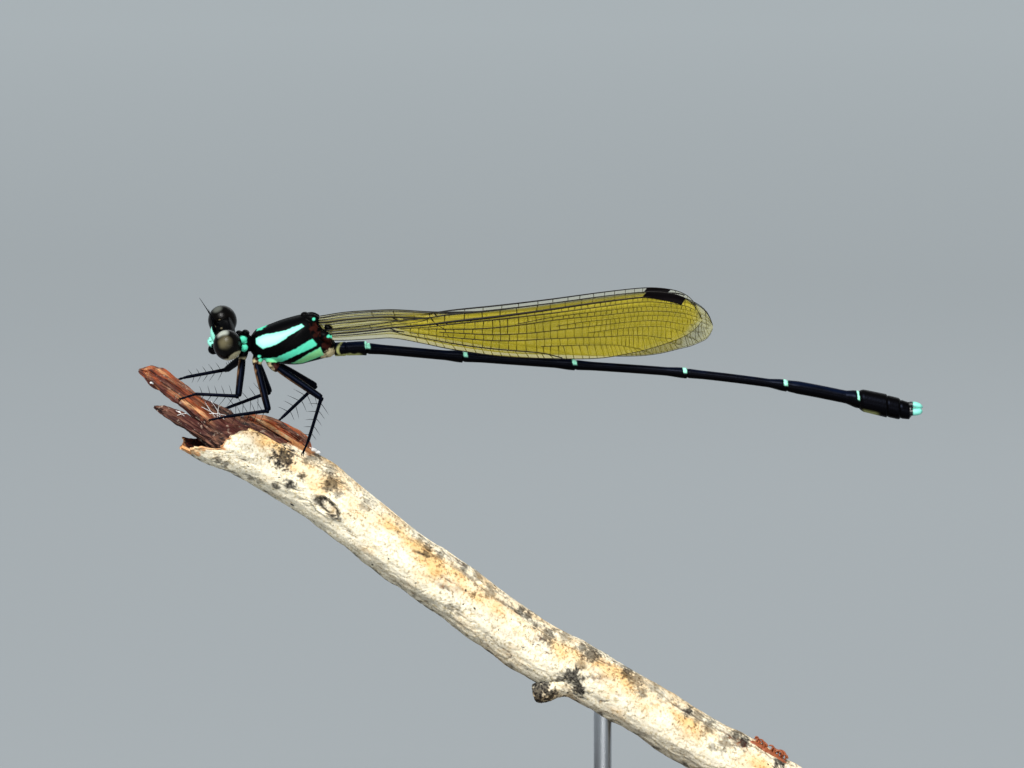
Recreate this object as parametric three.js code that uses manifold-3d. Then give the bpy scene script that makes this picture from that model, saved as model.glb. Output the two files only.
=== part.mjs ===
// A male threadtail damselfly, life size, clinging to the broken end of a dead twig that a small
// display stand holds up. Millimetres, +Z up, the head towards -X, the insect's left side towards -Y.
// The origin is the middle of the underside of the stand's base.
import * as THREE from "three";
import { mergeVertices } from "three/addons/utils/BufferGeometryUtils.js";
import Module from "manifold-3d";

const wasm = await Module();
wasm.setup();

// Clearance left where two pieces meet, and the least thickness of a limb or a wing
const GAP = 0.3;
const LIMB_RADIUS = 0.25;

// Stand: a flat base, and two rods up to the twig
const BASE_LENGTH = 41;
const BASE_WIDTH = 25;
const BASE_THICKNESS = 2.5;
const BASE_CORNER = 3;
const BASE_BEVEL = 0.4;
const ROD_RADIUS = 0.45;
const ROD_PLACES = { stand_rod_middle: 3.6, stand_rod_end: 10.9 };

// Height of the frame in which the insect and its twig are drawn, over the underside of the base
const SPECIMEN_LIFT = 1.5;

// Sizes of the body
const EYE_RADII = [0.66, 0.7, 0.72];
const EYE_SPACING = 2.5;
const SYNTHORAX_FRONT = -13.85;
const SYNTHORAX_REAR = -9.75;
const ABDOMEN_FRONT = -9.45;
const ABDOMEN_REAR = 18.9;
const APPENDAGE_LENGTH = 0.52;
const WING_THICKNESS = 0.42;
const WING_PLEAT = 0.04;

const colours = {
  black: ["#0d0f12", 0.35],
  eye: ["#141210", 0.15],
  turquoise: ["#7fe6c8", 0.45],
  wing: ["#a3942c", 0.3],
  leg: ["#14161c", 0.4],
  twig: ["#cdbb94", 0.85],
  base: ["#2b2420", 0.4],
  steel: ["#b9bcc0", 0.25],
};

const root = new THREE.Group();
const specimen = new THREE.Group();
specimen.position.z = SPECIMEN_LIFT;
root.add(specimen);

// Helpers: closed surfaces, and joins and cuts between them

const vec = (p) => new THREE.Vector3(...p);

function solidOf(geometry) {
  const bare = geometry.clone();
  for (const name of Object.keys(bare.attributes)) {
    if (name !== "position") bare.deleteAttribute(name);
  }
  const merged = mergeVertices(bare, 1e-4);
  const mesh = new wasm.Mesh({
    numProp: 3,
    vertProperties: merged.attributes.position.array,
    triVerts: new Uint32Array(merged.index.array),
  });
  return new wasm.Manifold(mesh);
}

function joined(solids) {
  return solids.reduce((whole, next) => whole.add(next));
}

// The largest closed surface of a solid, without the hollows and scraps that a join can leave
function largest(solid) {
  const pieces = solid.decompose();
  return pieces.reduce((best, next) => (next.volume() > best.volume() ? next : best));
}

function addNode(parent, name, solid, colour) {
  const mesh = largest(solid).getMesh();
  const geometry = new THREE.BufferGeometry();
  geometry.setAttribute("position", new THREE.BufferAttribute(mesh.vertProperties, 3));
  geometry.setIndex(new THREE.BufferAttribute(mesh.triVerts, 1));
  geometry.computeVertexNormals();
  const [color, roughness] = colours[colour];
  const metalness = colour === "steel" ? 1 : 0;
  const material = new THREE.MeshStandardMaterial({ color, roughness, metalness });
  const node = new THREE.Mesh(geometry, material);
  node.name = name;
  parent.add(node);
  return node;
}

// A closed skin over rings of as many points each, with a fan over the first and the last ring
function loft(rings) {
  const sides = rings[0].length;
  const points = rings.flat();
  const middle = (ring) => {
    const sum = ring.reduce((total, p) => total.add(p), new THREE.Vector3());
    return sum.divideScalar(sides);
  };
  points.push(middle(rings[0]), middle(rings[rings.length - 1]));
  const firstMiddle = points.length - 2;
  const lastMiddle = points.length - 1;
  const lastRing = (rings.length - 1) * sides;
  const faces = [];
  for (let s = 0; s < sides; s++) {
    const next = (s + 1) % sides;
    for (let r = 0; r < rings.length - 1; r++) {
      const a = r * sides;
      const b = a + sides;
      faces.push(a + s, a + next, b + next, a + s, b + next, b + s);
    }
    faces.push(firstMiddle, next, s, lastMiddle, lastRing + s, lastRing + next);
  }
  const geometry = new THREE.BufferGeometry();
  const flat = new Float32Array(points.flatMap((p) => p.toArray()));
  geometry.setAttribute("position", new THREE.BufferAttribute(flat, 3));
  geometry.setIndex(faces);
  return geometry;
}

// Rings square to a path, turned as little as possible from one to the next. radius(t, angle) gives
// the distance of the skin from the path, t running from 0 to 1, and angle from the path's far side
// (+Y) over its top.
function tube(path, steps, sides, radius) {
  const rings = [];
  for (let i = 0; i <= steps; i++) {
    const t = i / steps;
    const at = path.getPointAt(t);
    const along = path.getTangentAt(t);
    const side = new THREE.Vector3(0, 1, 0).addScaledVector(along, -along.y).normalize();
    const up = new THREE.Vector3().crossVectors(along, side).normalize();
    if (up.z < 0) up.negate();
    const ring = [];
    for (let s = 0; s < sides; s++) {
      const angle = (2 * Math.PI * s) / sides;
      const r = radius(t, angle);
      const p = at.clone().addScaledVector(side, r * Math.cos(angle));
      ring.push(p.addScaledVector(up, r * Math.sin(angle)));
    }
    rings.push(ring);
  }
  const solid = solidOf(loft(rings));
  return solid.volume() > 0 ? solid : solidOf(loft(rings.reverse()));
}

// A straight or bent limb through a few points, its radius given at each of them
function limb(points, radii, sides = 8, steps = 6) {
  const path = points.length === 2
    ? new THREE.LineCurve3(vec(points[0]), vec(points[1]))
    : new THREE.CatmullRomCurve3(points.map(vec));
  return tube(path, steps, sides, (t) => {
    const at = t * (radii.length - 1);
    const i = Math.min(Math.floor(at), radii.length - 2);
    return radii[i] + (radii[i + 1] - radii[i]) * (at - i);
  });
}

function ellipsoid(centre, radii, detail = 3, frame = new THREE.Matrix4()) {
  const shape = new THREE.IcosahedronGeometry(1, detail);
  shape.scale(...radii);
  shape.translate(...centre);
  shape.applyMatrix4(frame);
  return solidOf(shape);
}

// A four-sided spine that tapers from its sunk root to a point
function spine(from, direction, length, rootRadius) {
  const shape = new THREE.ConeGeometry(rootRadius, length, 4, 1);
  shape.translate(0, length / 2, 0);
  const turn = new THREE.Quaternion().setFromUnitVectors(new THREE.Vector3(0, 1, 0), direction);
  shape.applyQuaternion(turn);
  shape.translate(...from.toArray());
  return solidOf(shape);
}

// A smooth value between stations, each a position followed by its values
function between(stations, x) {
  const last = stations.length - 1;
  let i = 0;
  while (i < last - 1 && x > stations[i + 1][0]) i++;
  const [a, b] = [stations[i], stations[i + 1]];
  const t = THREE.MathUtils.clamp((x - a[0]) / (b[0] - a[0]), 0, 1);
  const before = stations[Math.max(i - 1, 0)];
  const after = stations[Math.min(i + 2, last)];
  return a.slice(1).map((value, k) => {
    const end = b[k + 1];
    const span = b[0] - a[0];
    const slopeIn = i > 0 ? ((end - before[k + 1]) / (b[0] - before[0])) * span : end - value;
    const slopeOut = i < last - 1
      ? ((after[k + 1] - value) / (after[0] - a[0])) * span
      : end - value;
    const t2 = t * t;
    const t3 = t2 * t;
    return (2 * t3 - 3 * t2 + 1) * value + (t3 - 2 * t2 + t) * slopeIn
      + (3 * t2 - 2 * t3) * end + (t3 - t2) * slopeOut;
  });
}

// Head: a dumb-bell that carries an eye on each end, rolled and turned a little to its left

const HEAD_CENTRE = [-15.29, 0, 26.3];
const HEAD_ROLL = THREE.MathUtils.degToRad(23.6);
const HEAD_YAW = THREE.MathUtils.degToRad(8);
const HEAD_PITCH = THREE.MathUtils.degToRad(12);

// Inside the head's own frame +X is towards the face, +Y to the insect's left and +Z to its crown
function headFrame() {
  const facing = new THREE.Matrix4().makeRotationZ(Math.PI + HEAD_YAW);
  const roll = new THREE.Matrix4().makeRotationX(-HEAD_ROLL);
  const pitch = new THREE.Matrix4().makeRotationY(HEAD_PITCH);
  const place = new THREE.Matrix4().makeTranslation(...HEAD_CENTRE);
  return place.multiply(facing).multiply(roll).multiply(pitch);
}

const HEAD = headFrame();
const inHead = (x, y, z) => new THREE.Vector3(x, y, z).applyMatrix4(HEAD);
const alongHead = (x, y, z) => new THREE.Vector3(x, y, z).transformDirection(HEAD);

function eye(side, grow = 0, detail = 4) {
  const centre = [0, (side * EYE_SPACING) / 2, 0];
  return ellipsoid(centre, EYE_RADII.map((r) => r + grow), detail, HEAD);
}

function head() {
  const pieces = [
    ellipsoid([-0.02, 0, 0.06], [0.46, 0.95, 0.5], 3, HEAD),
    ellipsoid([0.34, 0, -0.08], [0.36, 0.52, 0.42], 3, HEAD),
    ellipsoid([0.56, 0, -0.32], [0.24, 0.42, 0.2], 2, HEAD),
    ellipsoid([0.5, 0, -0.64], [0.2, 0.36, 0.24], 2, HEAD),
    ellipsoid([0.02, 0, -0.66], [0.42, 0.42, 0.24], 2, HEAD),
    ellipsoid([-0.26, 0, -0.12], [0.2, 1.5, 0.62], 4, HEAD),
  ];
  for (const side of [-1, 1]) {
    pieces.push(ellipsoid([0.22, side * 0.38, -0.56], [0.3, 0.2, 0.28], 1, HEAD));
    pieces.push(ellipsoid([0.06, side * 0.17, 0.54], [0.1, 0.1, 0.08], 0, HEAD));
  }
  pieces.push(ellipsoid([0.27, 0, 0.42], [0.1, 0.1, 0.1], 0, HEAD));
  const sockets = joined([eye(-1, 0.27, 2), eye(1, 0.27, 2)]);
  return joined(pieces).subtract(sockets);
}

// Each feeler stands on the brow between the eyes: two thick joints and a long bristle
function feeler(side) {
  const base = inHead(0.66, side * 0.34, 0.57);
  const lean = side < 0 ? alongHead(0.3, -0.1, 1) : alongHead(0.02, 0.02, 1);
  const joint = base.clone().addScaledVector(lean, 0.34);
  const tip = base.clone().addScaledVector(lean, 1.15);
  return limb([base.toArray(), joint.toArray(), tip.toArray()], [0.2, 0.17, 0.03], 7, 6);
}

addNode(specimen, "head", head(), "black");
addNode(specimen, "eye_left", eye(1), "eye");
addNode(specimen, "eye_right", eye(-1), "eye");
addNode(specimen, "antenna_left", feeler(1), "black");
addNode(specimen, "antenna_right", feeler(-1), "black");

// Prothorax: the small first ring, with its humped back and the fore hips
// Stations: x, top, underside, half width
const PROTHORAX = [
  [-14.47, 26.05, 25.5, 0.28],
  [-14.38, 26.2, 25.32, 0.46],
  [-14.25, 26.24, 25.3, 0.52],
  [-14.12, 26.15, 25.38, 0.44],
];

function ringedBody(stations, steps, sides, keel) {
  const front = stations[0][0];
  const rear = stations[stations.length - 1][0];
  const rings = [];
  for (let i = 0; i <= steps; i++) {
    const x = front + ((rear - front) * i) / steps;
    const [top, under, half] = between(stations, x);
    const ring = [];
    for (let s = 0; s < sides; s++) {
      const angle = (2 * Math.PI * s) / sides;
      const rise = Math.sin(angle);
      const crest = rise > 0.999 ? keel : 0;
      const y = half * Math.sign(Math.cos(angle)) * Math.abs(Math.cos(angle)) ** 0.85;
      const z = (top + under) / 2 + ((top - under) / 2) * Math.sign(rise) * Math.abs(rise) ** 0.95;
      ring.push(new THREE.Vector3(x, y, z + crest));
    }
    rings.push(ring);
  }
  const solid = solidOf(loft(rings));
  return solid.volume() > 0 ? solid : solidOf(loft(rings.reverse()));
}

function prothorax() {
  const pieces = [ringedBody(PROTHORAX, 5, 16, 0.03)];
  for (const side of [-1, 1]) {
    pieces.push(limb([[-14.32, side * 0.2, 25.55], [-14.38, side * 0.3, 25.22]], [0.2, 0.18], 8, 1));
  }
  return joined(pieces);
}

addNode(specimen, "prothorax", prothorax(), "black");

// Synthorax: the deep slanting box that holds the flight muscles, four wing hinges on its back and
// the middle and hind hips below. Stations as above.
const SYNTHORAX = [
  [SYNTHORAX_FRONT, 26.05, 25.3, 0.5],
  [-13.6, 26.45, 25.08, 0.78],
  [-13.2, 26.68, 24.92, 0.95],
  [-12.7, 26.9, 24.8, 1.06],
  [-12.2, 27.05, 24.72, 1.12],
  [-11.7, 27.18, 24.72, 1.12],
  [-11.2, 27.28, 24.82, 1.04],
  [-10.85, 27.16, 24.92, 0.94],
  [-10.5, 26.7, 25.02, 0.8],
  [-10.15, 26.2, 25.08, 0.64],
  [SYNTHORAX_REAR, 25.88, 25.14, 0.36],
];

// Hip sockets: where each leaves the thorax, and its end
const COXAE = {
  mid: [[-13.62, 0.36, 25.2], [-13.68, 0.42, 24.98]],
  hind: [[-12.95, 0.42, 24.95], [-12.84, 0.48, 24.72]],
};

function synthorax() {
  const pieces = [ringedBody(SYNTHORAX, 18, 24, 0.05)];
  for (const side of [-1, 1]) {
    pieces.push(ellipsoid([-10.99, side * 0.44, 27.0], [0.28, 0.24, 0.24], 2));
    pieces.push(ellipsoid([-10.34, side * 0.72, 26.2], [0.26, 0.26, 0.26], 2));
    for (const [from, to] of Object.values(COXAE)) {
      const mirror = ([x, y, z]) => [x, side * y, z];
      pieces.push(limb([mirror(from), mirror(to)], [0.24, 0.2], 8, 1));
    }
  }
  return joined(pieces).subtract(wingClearance());
}

// Room behind the hinges for the roots of the wings
function wingClearance() {
  const fore = new THREE.BoxGeometry(2, 2, 1.5);
  fore.translate(-9.72, 0, 27.28);
  const hind = new THREE.BoxGeometry(1.4, 3, 1.2);
  hind.translate(-9.38, 0, 26.26);
  return solidOf(fore).add(solidOf(hind));
}

addNode(specimen, "synthorax", synthorax(), "turquoise");

// Abdomen: ten rings, the first two and the last two each joined as one piece

const ABDOMEN_PATH = new THREE.CatmullRomCurve3(
  [
    [-9.6, 0, 25.5], [-8.2, 0, 25.52], [-3.4, 0, 25.1], [2.2, 0, 24.69], [7.8, 0, 24.27],
    [12.8, 0, 23.64], [16.4, 0, 22.94], [19.3, 0, 22.33],
  ].map(vec),
);

// Each length of abdomen: where it ends, and its radii at front, waist and rear
const ABDOMEN_RINGS = [
  ["abdomen_s1_s2", -8.25, 0.36, 0.34, 0.35],
  ["abdomen_s3", -3.45, 0.29, 0.25, 0.3],
  ["abdomen_s4", 2.2, 0.26, 0.23, 0.28],
  ["abdomen_s5", 7.75, 0.25, 0.22, 0.27],
  ["abdomen_s6", 12.8, 0.24, 0.22, 0.3],
  ["abdomen_s7", 16.4, 0.3, 0.34, 0.43],
  ["abdomen_s8", 17.75, 0.46, 0.52, 0.56],
  ["abdomen_s9_s10", ABDOMEN_REAR, 0.53, 0.5, 0.38],
];

// The part of the abdomen's path between two places along X
function abdomenLength(from, to) {
  const points = ABDOMEN_PATH.getPoints(200);
  const at = (x) => {
    const i = points.findIndex((p) => p.x >= x);
    const [a, b] = [points[i - 1], points[i]];
    return a.clone().lerp(b, (x - a.x) / (b.x - a.x));
  };
  const ends = [0, 0.2, 0.4, 0.6, 0.8, 1].map((t) => at(from + (to - from) * t));
  return new THREE.CatmullRomCurve3(ends);
}

let ringFront = ABDOMEN_FRONT;
for (const [name, rear, front, waist, back] of ABDOMEN_RINGS) {
  const isLast = rear === ABDOMEN_REAR;
  const path = abdomenLength(ringFront, rear - (isLast ? 0 : GAP / 2));
  const solid = tube(path, 8, 12, (t) => {
    const swelling = (back - waist) * THREE.MathUtils.smoothstep(t, 0.82, 0.97);
    const collar = (front - waist) * (1 - THREE.MathUtils.smoothstep(t, 0.03, 0.3));
    const even = waist + (back - waist) * t;
    return rear - ringFront < 4 ? even + collar * 0.4 : waist + swelling + collar;
  });
  addNode(specimen, name, solid, "black");
  ringFront = rear + GAP / 2;
}

// Claspers: two upper hooks and two lower ones on a short plate at the tail's end
function appendages() {
  const start = ABDOMEN_REAR + GAP;
  const plate = new THREE.LineCurve3(vec([start, 0, 22.37]), vec([start + 0.16, 0, 22.35]));
  const pieces = [tube(plate, 1, 12, () => 0.3)];
  for (const side of [-1, 1]) {
    const upper = [[start + 0.08, side * 0.16, 22.5], [start + APPENDAGE_LENGTH, side * 0.14, 22.46]];
    const lower = [[start + 0.08, side * 0.16, 22.22], [start + 0.4, side * 0.13, 22.16]];
    pieces.push(limb(upper, [0.13, 0.09], 6, 1), limb(lower, [0.12, 0.07], 6, 1));
  }
  return joined(pieces);
}

addNode(specimen, "anal_appendages", appendages(), "turquoise");

// Wings: folded together over the back, the leading edge up. Each is a pleated membrane whose pleats
// are its main veins, on a narrow stalk.
// Stations: x, leading edge, trailing edge
const FOREWING = {
  stations: [
    [-10.42, 27.22, 26.84], [-9.3, 27.36, 26.82], [-6.85, 27.5, 26.9], [-4.85, 27.4, 26.42],
    [-1.55, 27.42, 25.62], [0.95, 27.6, 25.35], [3.45, 27.95, 25.24], [5.45, 28.22, 25.32],
    [6.6, 28.28, 25.42], [9.1, 28.2, 25.42],
  ],
  roundFrom: 5.9,
  tip: 9.05,
  stigma: [6.45, 7.5],
  rootY: 0.42,
  bladeY: 0.4,
  spreadEnd: -8.2,
};
const HINDWING = {
  stations: [
    [-9.78, 26.44, 25.96], [-7.95, 26.66, 25.98], [-6.85, 26.86, 26.06], [-5.3, 27.14, 25.84],
    [-4.05, 27.4, 25.5], [-1.55, 27.7, 25.24], [0.95, 28.0, 25.14], [3.45, 28.3, 25.18],
    [5.3, 28.46, 25.4], [8.5, 28.68, 25.64],
  ],
  roundFrom: 5.2,
  tip: 8.45,
  stigma: [5.8, 6.9],
  rootY: 0.78,
  bladeY: 1.2,
  spreadEnd: -8.3,
};

// Places of the ridges and of the furrows between them, as shares of the wing's breadth
const PLEATS = [0, 0.06, 0.12, 0.2, 0.28, 0.36, 0.44, 0.53, 0.62, 0.71, 0.8, 0.9, 1];
const WING_STEPS = 23;

function wing(shape, side) {
  const start = shape.stations[0][0];
  const front = [];
  const back = [];
  for (let i = 0; i <= WING_STEPS; i++) {
    const share = i / WING_STEPS;
    const ending = Math.sin(((share - 0.7) / 0.3) * (Math.PI / 2));
    const eased = share < 0.7 ? share * 1.14 : 0.798 + 0.202 * ending;
    const x = start + (shape.tip - 0.03 - start) * Math.min(eased, 1);
    const [lead, trail] = between(shape.stations, x);
    const beyond = Math.max(0, (x - shape.roundFrom) / (shape.tip - shape.roundFrom));
    const round = Math.sqrt(1 - beyond * beyond);
    const middle = (lead + trail) / 2;
    const half = ((lead - trail) / 2) * round;
    const spread = THREE.MathUtils.smoothstep(x, start, shape.spreadEnd);
    const y = shape.rootY + (shape.bladeY - shape.rootY) * spread;
    const pleat = Math.min(WING_PLEAT, half * 0.06);
    PLEATS.forEach((place, k) => {
      const inStigma = k < 3 && x > shape.stigma[0] && x < shape.stigma[1];
      const lift = k % 2 === 0 || inStigma ? pleat : -pleat;
      const z = middle + half * (1 - 2 * place);
      front.push(new THREE.Vector3(x, side * (y + lift + WING_THICKNESS / 2), z));
      back.push(new THREE.Vector3(x, side * (y + lift - WING_THICKNESS / 2), z));
    });
  }
  const across = PLEATS.length;
  const count = front.length;
  const faces = [];
  const quad = (a, b, c, d) => faces.push(a, b, c, a, c, d);
  for (let i = 0; i < WING_STEPS; i++) {
    for (let k = 0; k < across - 1; k++) {
      const a = i * across + k;
      quad(a, a + 1, a + across + 1, a + across);
      const [p, q, r, s] = [a, a + 1, a + across + 1, a + across].map((n) => n + count);
      faces.push(p, r, q, p, s, r);
    }
    for (const [k, turn] of [[0, false], [across - 1, true]]) {
      const a = i * across + k;
      const b = a + across;
      if (turn) quad(a, a + count, b + count, b);
      else quad(b, b + count, a + count, a);
    }
  }
  const last = WING_STEPS * across;
  for (let k = 0; k < across - 1; k++) {
    quad(k + count, k + 1 + count, k + 1, k);
    quad(last + k, last + k + 1, last + k + 1 + count, last + k + count);
  }
  const geometry = new THREE.BufferGeometry();
  const flat = new Float32Array([...front, ...back].flatMap((p) => p.toArray()));
  geometry.setAttribute("position", new THREE.BufferAttribute(flat, 3));
  geometry.setIndex(faces);
  const solid = solidOf(geometry);
  if (solid.volume() > 0) return solid;
  geometry.setIndex(faces.reverse());
  return solidOf(geometry);
}

addNode(specimen, "forewing_left", wing(FOREWING, -1), "wing");
addNode(specimen, "forewing_right", wing(FOREWING, 1), "wing");
addNode(specimen, "hindwing_left", wing(HINDWING, -1), "wing");
addNode(specimen, "hindwing_right", wing(HINDWING, 1), "wing");

// Legs: thigh, then shin and foot, mitred at the knee, with two rows of bristly spines on the shin
const LEGS = {
  fore_leg_left: {
    hip: [-14.47, -0.44, 24.92],
    knee: [-14.58, -1.35, 23.27],
    ankle: [-16.7, -1.06, 23.32],
    toe: [-17.4, -1.0, 23.14],
  },
  fore_leg_right: {
    hip: [-14.53, 0.46, 24.86],
    knee: [-15.25, 1.35, 24.25],
    ankle: [-17.2, 0.95, 24.0],
    toe: [-17.85, 0.86, 23.82],
  },
  mid_leg_left: {
    hip: [-13.72, -0.62, 24.6],
    knee: [-13.12, -1.6, 22.54],
    ankle: [-15.15, -1.3, 22.4],
    toe: [-15.95, -1.36, 22.16],
  },
  mid_leg_right: {
    hip: [-13.72, 0.64, 24.6],
    knee: [-13.15, 1.6, 23.11],
    ankle: [-15.15, 0.9, 22.66],
    toe: [-15.8, 0.86, 22.66],
  },
  hind_leg_left: {
    hip: [-12.48, -0.72, 24.41],
    knee: [-10.47, -1.75, 23.2],
    ankle: [-11.15, -1.5, 21.06],
    toe: [-11.35, -1.5, 20.55],
  },
  hind_leg_right: {
    hip: [-12.44, 0.74, 24.43],
    knee: [-10.75, 1.65, 23.41],
    ankle: [-12.3, 0.7, 22.2],
    toe: [-12.75, 0.62, 21.98],
  },
};
const SPINES_PER_ROW = 4;
const SPINE_LENGTH = 0.78;
const SPINE_ROOT = 0.17;

function leg(name, { hip, knee, ankle, toe }) {
  const [h, k, a, t] = [hip, knee, ankle, toe].map(vec);
  const down = k.clone().sub(h).normalize();
  const on = a.clone().sub(k).normalize();
  const mitre = down.clone().add(on).normalize();
  const offset = mitre.dot(k);
  const pastKnee = k.clone().addScaledVector(down, 2 * LIMB_RADIUS);
  const beforeKnee = k.clone().addScaledVector(on, -2 * LIMB_RADIUS);
  const thigh = limb([hip, pastKnee.toArray()], [LIMB_RADIUS, LIMB_RADIUS], 8, 1)
    .trimByPlane(mitre.clone().negate().toArray(), -(offset - GAP / 2));
  const shin = limb([beforeKnee.toArray(), ankle], [LIMB_RADIUS, 0.22], 6, 1)
    .trimByPlane(mitre.toArray(), offset + GAP / 2);
  const foot = limb([ankle, toe], [0.22, 0.12], 6, 1);
  const bend = ellipsoid(ankle, [0.22, 0.22, 0.22], 0);
  const claw = t.clone().sub(a).normalize();
  const pieces = [shin, bend, foot, spine(t.addScaledVector(claw, -0.1), claw, 0.3, 0.11)];
  const across = new THREE.Vector3().crossVectors(down, on).normalize();
  const over = new THREE.Vector3().crossVectors(across, on).normalize();
  const length = a.distanceTo(k);
  for (let i = 0; i < SPINES_PER_ROW; i++) {
    const along = 0.27 + (0.62 * (i + 0.5)) / SPINES_PER_ROW;
    const from = k.clone().addScaledVector(on, along * length);
    for (const row of [-1, 1]) {
      const lean = over.clone().multiplyScalar(row).addScaledVector(on, 0.35);
      lean.addScaledVector(across, row * 0.25).normalize();
      const shrink = 1 - 0.08 * i;
      pieces.push(spine(from, lean, SPINE_LENGTH * shrink, SPINE_ROOT));
    }
  }
  return { thigh, shin: joined(pieces) };
}

for (const [name, joints] of Object.entries(LEGS)) {
  const { thigh, shin } = leg(name, joints);
  addNode(specimen, name + "_femur", thigh, "leg");
  addNode(specimen, name + "_tibia", shin, "leg");
}

// Twig: a bent, knotty length of dead branch. Its upper end is snapped, so the bark is torn away over
// the wood, which runs on as two splinters. Its lower end is sawn.
// Stations: the line of its middle, and its radius there
const TWIG = [
  [-17.3, 21.7, 1.2], [-15.9, 21.15, 1.46], [-14.5, 20.7, 1.56], [-12.3, 19.4, 1.5],
  [-10.7, 18.45, 1.52], [-8.8, 16.93, 1.46], [-6.4, 15.07, 1.43], [-3.9, 13.35, 1.46],
  [-1.95, 11.9, 1.45], [0.35, 10.3, 1.44], [2.75, 9.05, 1.42], [4.75, 7.95, 1.38],
  [7.5, 6.2, 1.36], [10.3, 4.7, 1.36], [13.4, 2.85, 1.36],
];
const BARK_SIDES = 16;
const BARK_STEPS = 36;
const WOOD_SHARE = 0.84;

const twigPath = new THREE.CatmullRomCurve3(TWIG.map(([x, z]) => new THREE.Vector3(x, 0, z)));

// Radius of the bark: the stations' own, with shallow lumps along the grain
function barkRadius(t, angle) {
  const at = t * (TWIG.length - 1);
  const i = Math.min(Math.floor(at), TWIG.length - 2);
  const plain = TWIG[i][2] + (TWIG[i + 1][2] - TWIG[i][2]) * (at - i);
  const lumps = Math.sin(3 * angle + 9 * t) * Math.sin(31 * t) + 0.6 * Math.sin(5 * angle - 23 * t);
  return plain + 0.04 * lumps;
}

function twigTube(grow, share = 1) {
  return tube(twigPath, BARK_STEPS, BARK_SIDES, (t, angle) => barkRadius(t, angle) * share + grow);
}

// The torn edge of the bark, seen from the side: everything above this line is gone
const TORN_EDGE = [
  [-20, 20.95], [-17.45, 20.9], [-17.1, 20.5], [-16.6, 20.4], [-16.3, 20.62], [-15.8, 20.58],
  [-15.35, 20.72], [-15.05, 21.3], [-14.5, 21.55], [-13.95, 21.5], [-13.5, 21.15],
  [-13.1, 20.8], [-12.4, 20.85], [-11.7, 20.4], [-11.2, 20.45], [-10.6, 20.9], [-10.6, 26], [-20, 26],
];

function tornAway() {
  const outline = new THREE.Shape(TORN_EDGE.map(([x, z]) => new THREE.Vector2(x, z)));
  const block = new THREE.ExtrudeGeometry(outline, { depth: 8, bevelEnabled: false });
  block.translate(0, 0, -4);
  block.rotateX(Math.PI / 2);
  return solidOf(block);
}

// A splinter of wood: a flattened, ragged tongue
function splinter(points, radii, flat) {
  const path = new THREE.CatmullRomCurve3(points.map(vec));
  return tube(path, 9, 8, (t, angle) => {
    const at = t * (radii.length - 1);
    const i = Math.min(Math.floor(at), radii.length - 2);
    const plain = radii[i] + (radii[i + 1] - radii[i]) * (at - i);
    const ragged = 1 + 0.09 * Math.sin(4 * angle + 17 * t) + 0.06 * Math.sin(41 * t + angle);
    return plain * ragged * (1 - flat * Math.cos(angle) ** 2);
  });
}

function perch() {
  const bark = twigTube(0).subtract(tornAway());
  const wood = twigTube(0, WOOD_SHARE);
  const heart = new THREE.CatmullRomCurve3([[-16.7, 0, 21.35], [-15.2, 0, 20.95], [-12, 0, 19.3]].map(vec));
  const stump = tube(heart, 8, 12, (t, angle) => 1.12 + 0.3 * t * (1 - t) * 4 * Math.sin(angle) ** 2);
  const cutBack = new THREE.BoxGeometry(3, 6, 6);
  cutBack.rotateY(THREE.MathUtils.degToRad(25));
  cutBack.translate(-18.1, 0, 22.6);
  const shortWood = wood.subtract(solidOf(cutBack));
  const upper = splinter(
    [[-19.55, 0, 24.42], [-18.75, 0, 24.1], [-17.65, 0, 23.35], [-16.55, 0, 22.45], [-15.2, 0, 21.3]],
    [0.06, 0.38, 0.5, 0.54, 0.66],
    0.12,
  );
  const lower = splinter(
    [[-18.8, 0, 22.56], [-18.15, 0, 22.32], [-17.3, 0, 21.86], [-16.3, 0, 21.25], [-15.2, 0, 20.8]],
    [0.07, 0.27, 0.32, 0.38, 0.5],
    -0.2,
  );
  const knot = limb([[0.6, -0.1, 9.6], [0.35, -0.25, 8.25], [0.2, -0.3, 7.85]], [0.85, 0.48, 0.4], 10, 5);
  const bud = ellipsoid([-1.55, -0.1, 10.35], [0.75, 0.5, 0.42], 2);
  const scar = ellipsoid([12.0, 0, 4.55], [0.7, 0.5, 0.36], 2);
  return joined([bark, shortWood, stump, upper, lower, knot, bud, scar]);
}

addNode(specimen, "perch_twig", perch(), "twig");

// Stand

function standBase() {
  const [l, w, c] = [BASE_LENGTH / 2 - BASE_BEVEL, BASE_WIDTH / 2 - BASE_BEVEL, BASE_CORNER];
  const outline = new THREE.Shape();
  outline.moveTo(-l + c, -w);
  outline.lineTo(l - c, -w);
  outline.absarc(l - c, -w + c, c, -Math.PI / 2, 0);
  outline.lineTo(l, w - c);
  outline.absarc(l - c, w - c, c, 0, Math.PI / 2);
  outline.lineTo(-l + c, w);
  outline.absarc(-l + c, w - c, c, Math.PI / 2, Math.PI);
  outline.lineTo(-l, -w + c);
  outline.absarc(-l + c, -w + c, c, Math.PI, 1.5 * Math.PI);
  const slab = new THREE.ExtrudeGeometry(outline, {
    depth: BASE_THICKNESS - 2 * BASE_BEVEL,
    curveSegments: 4,
    bevelThickness: BASE_BEVEL,
    bevelSize: BASE_BEVEL,
    bevelSegments: 1,
  });
  slab.translate(0, 0, BASE_BEVEL);
  return solidOf(slab);
}

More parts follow.
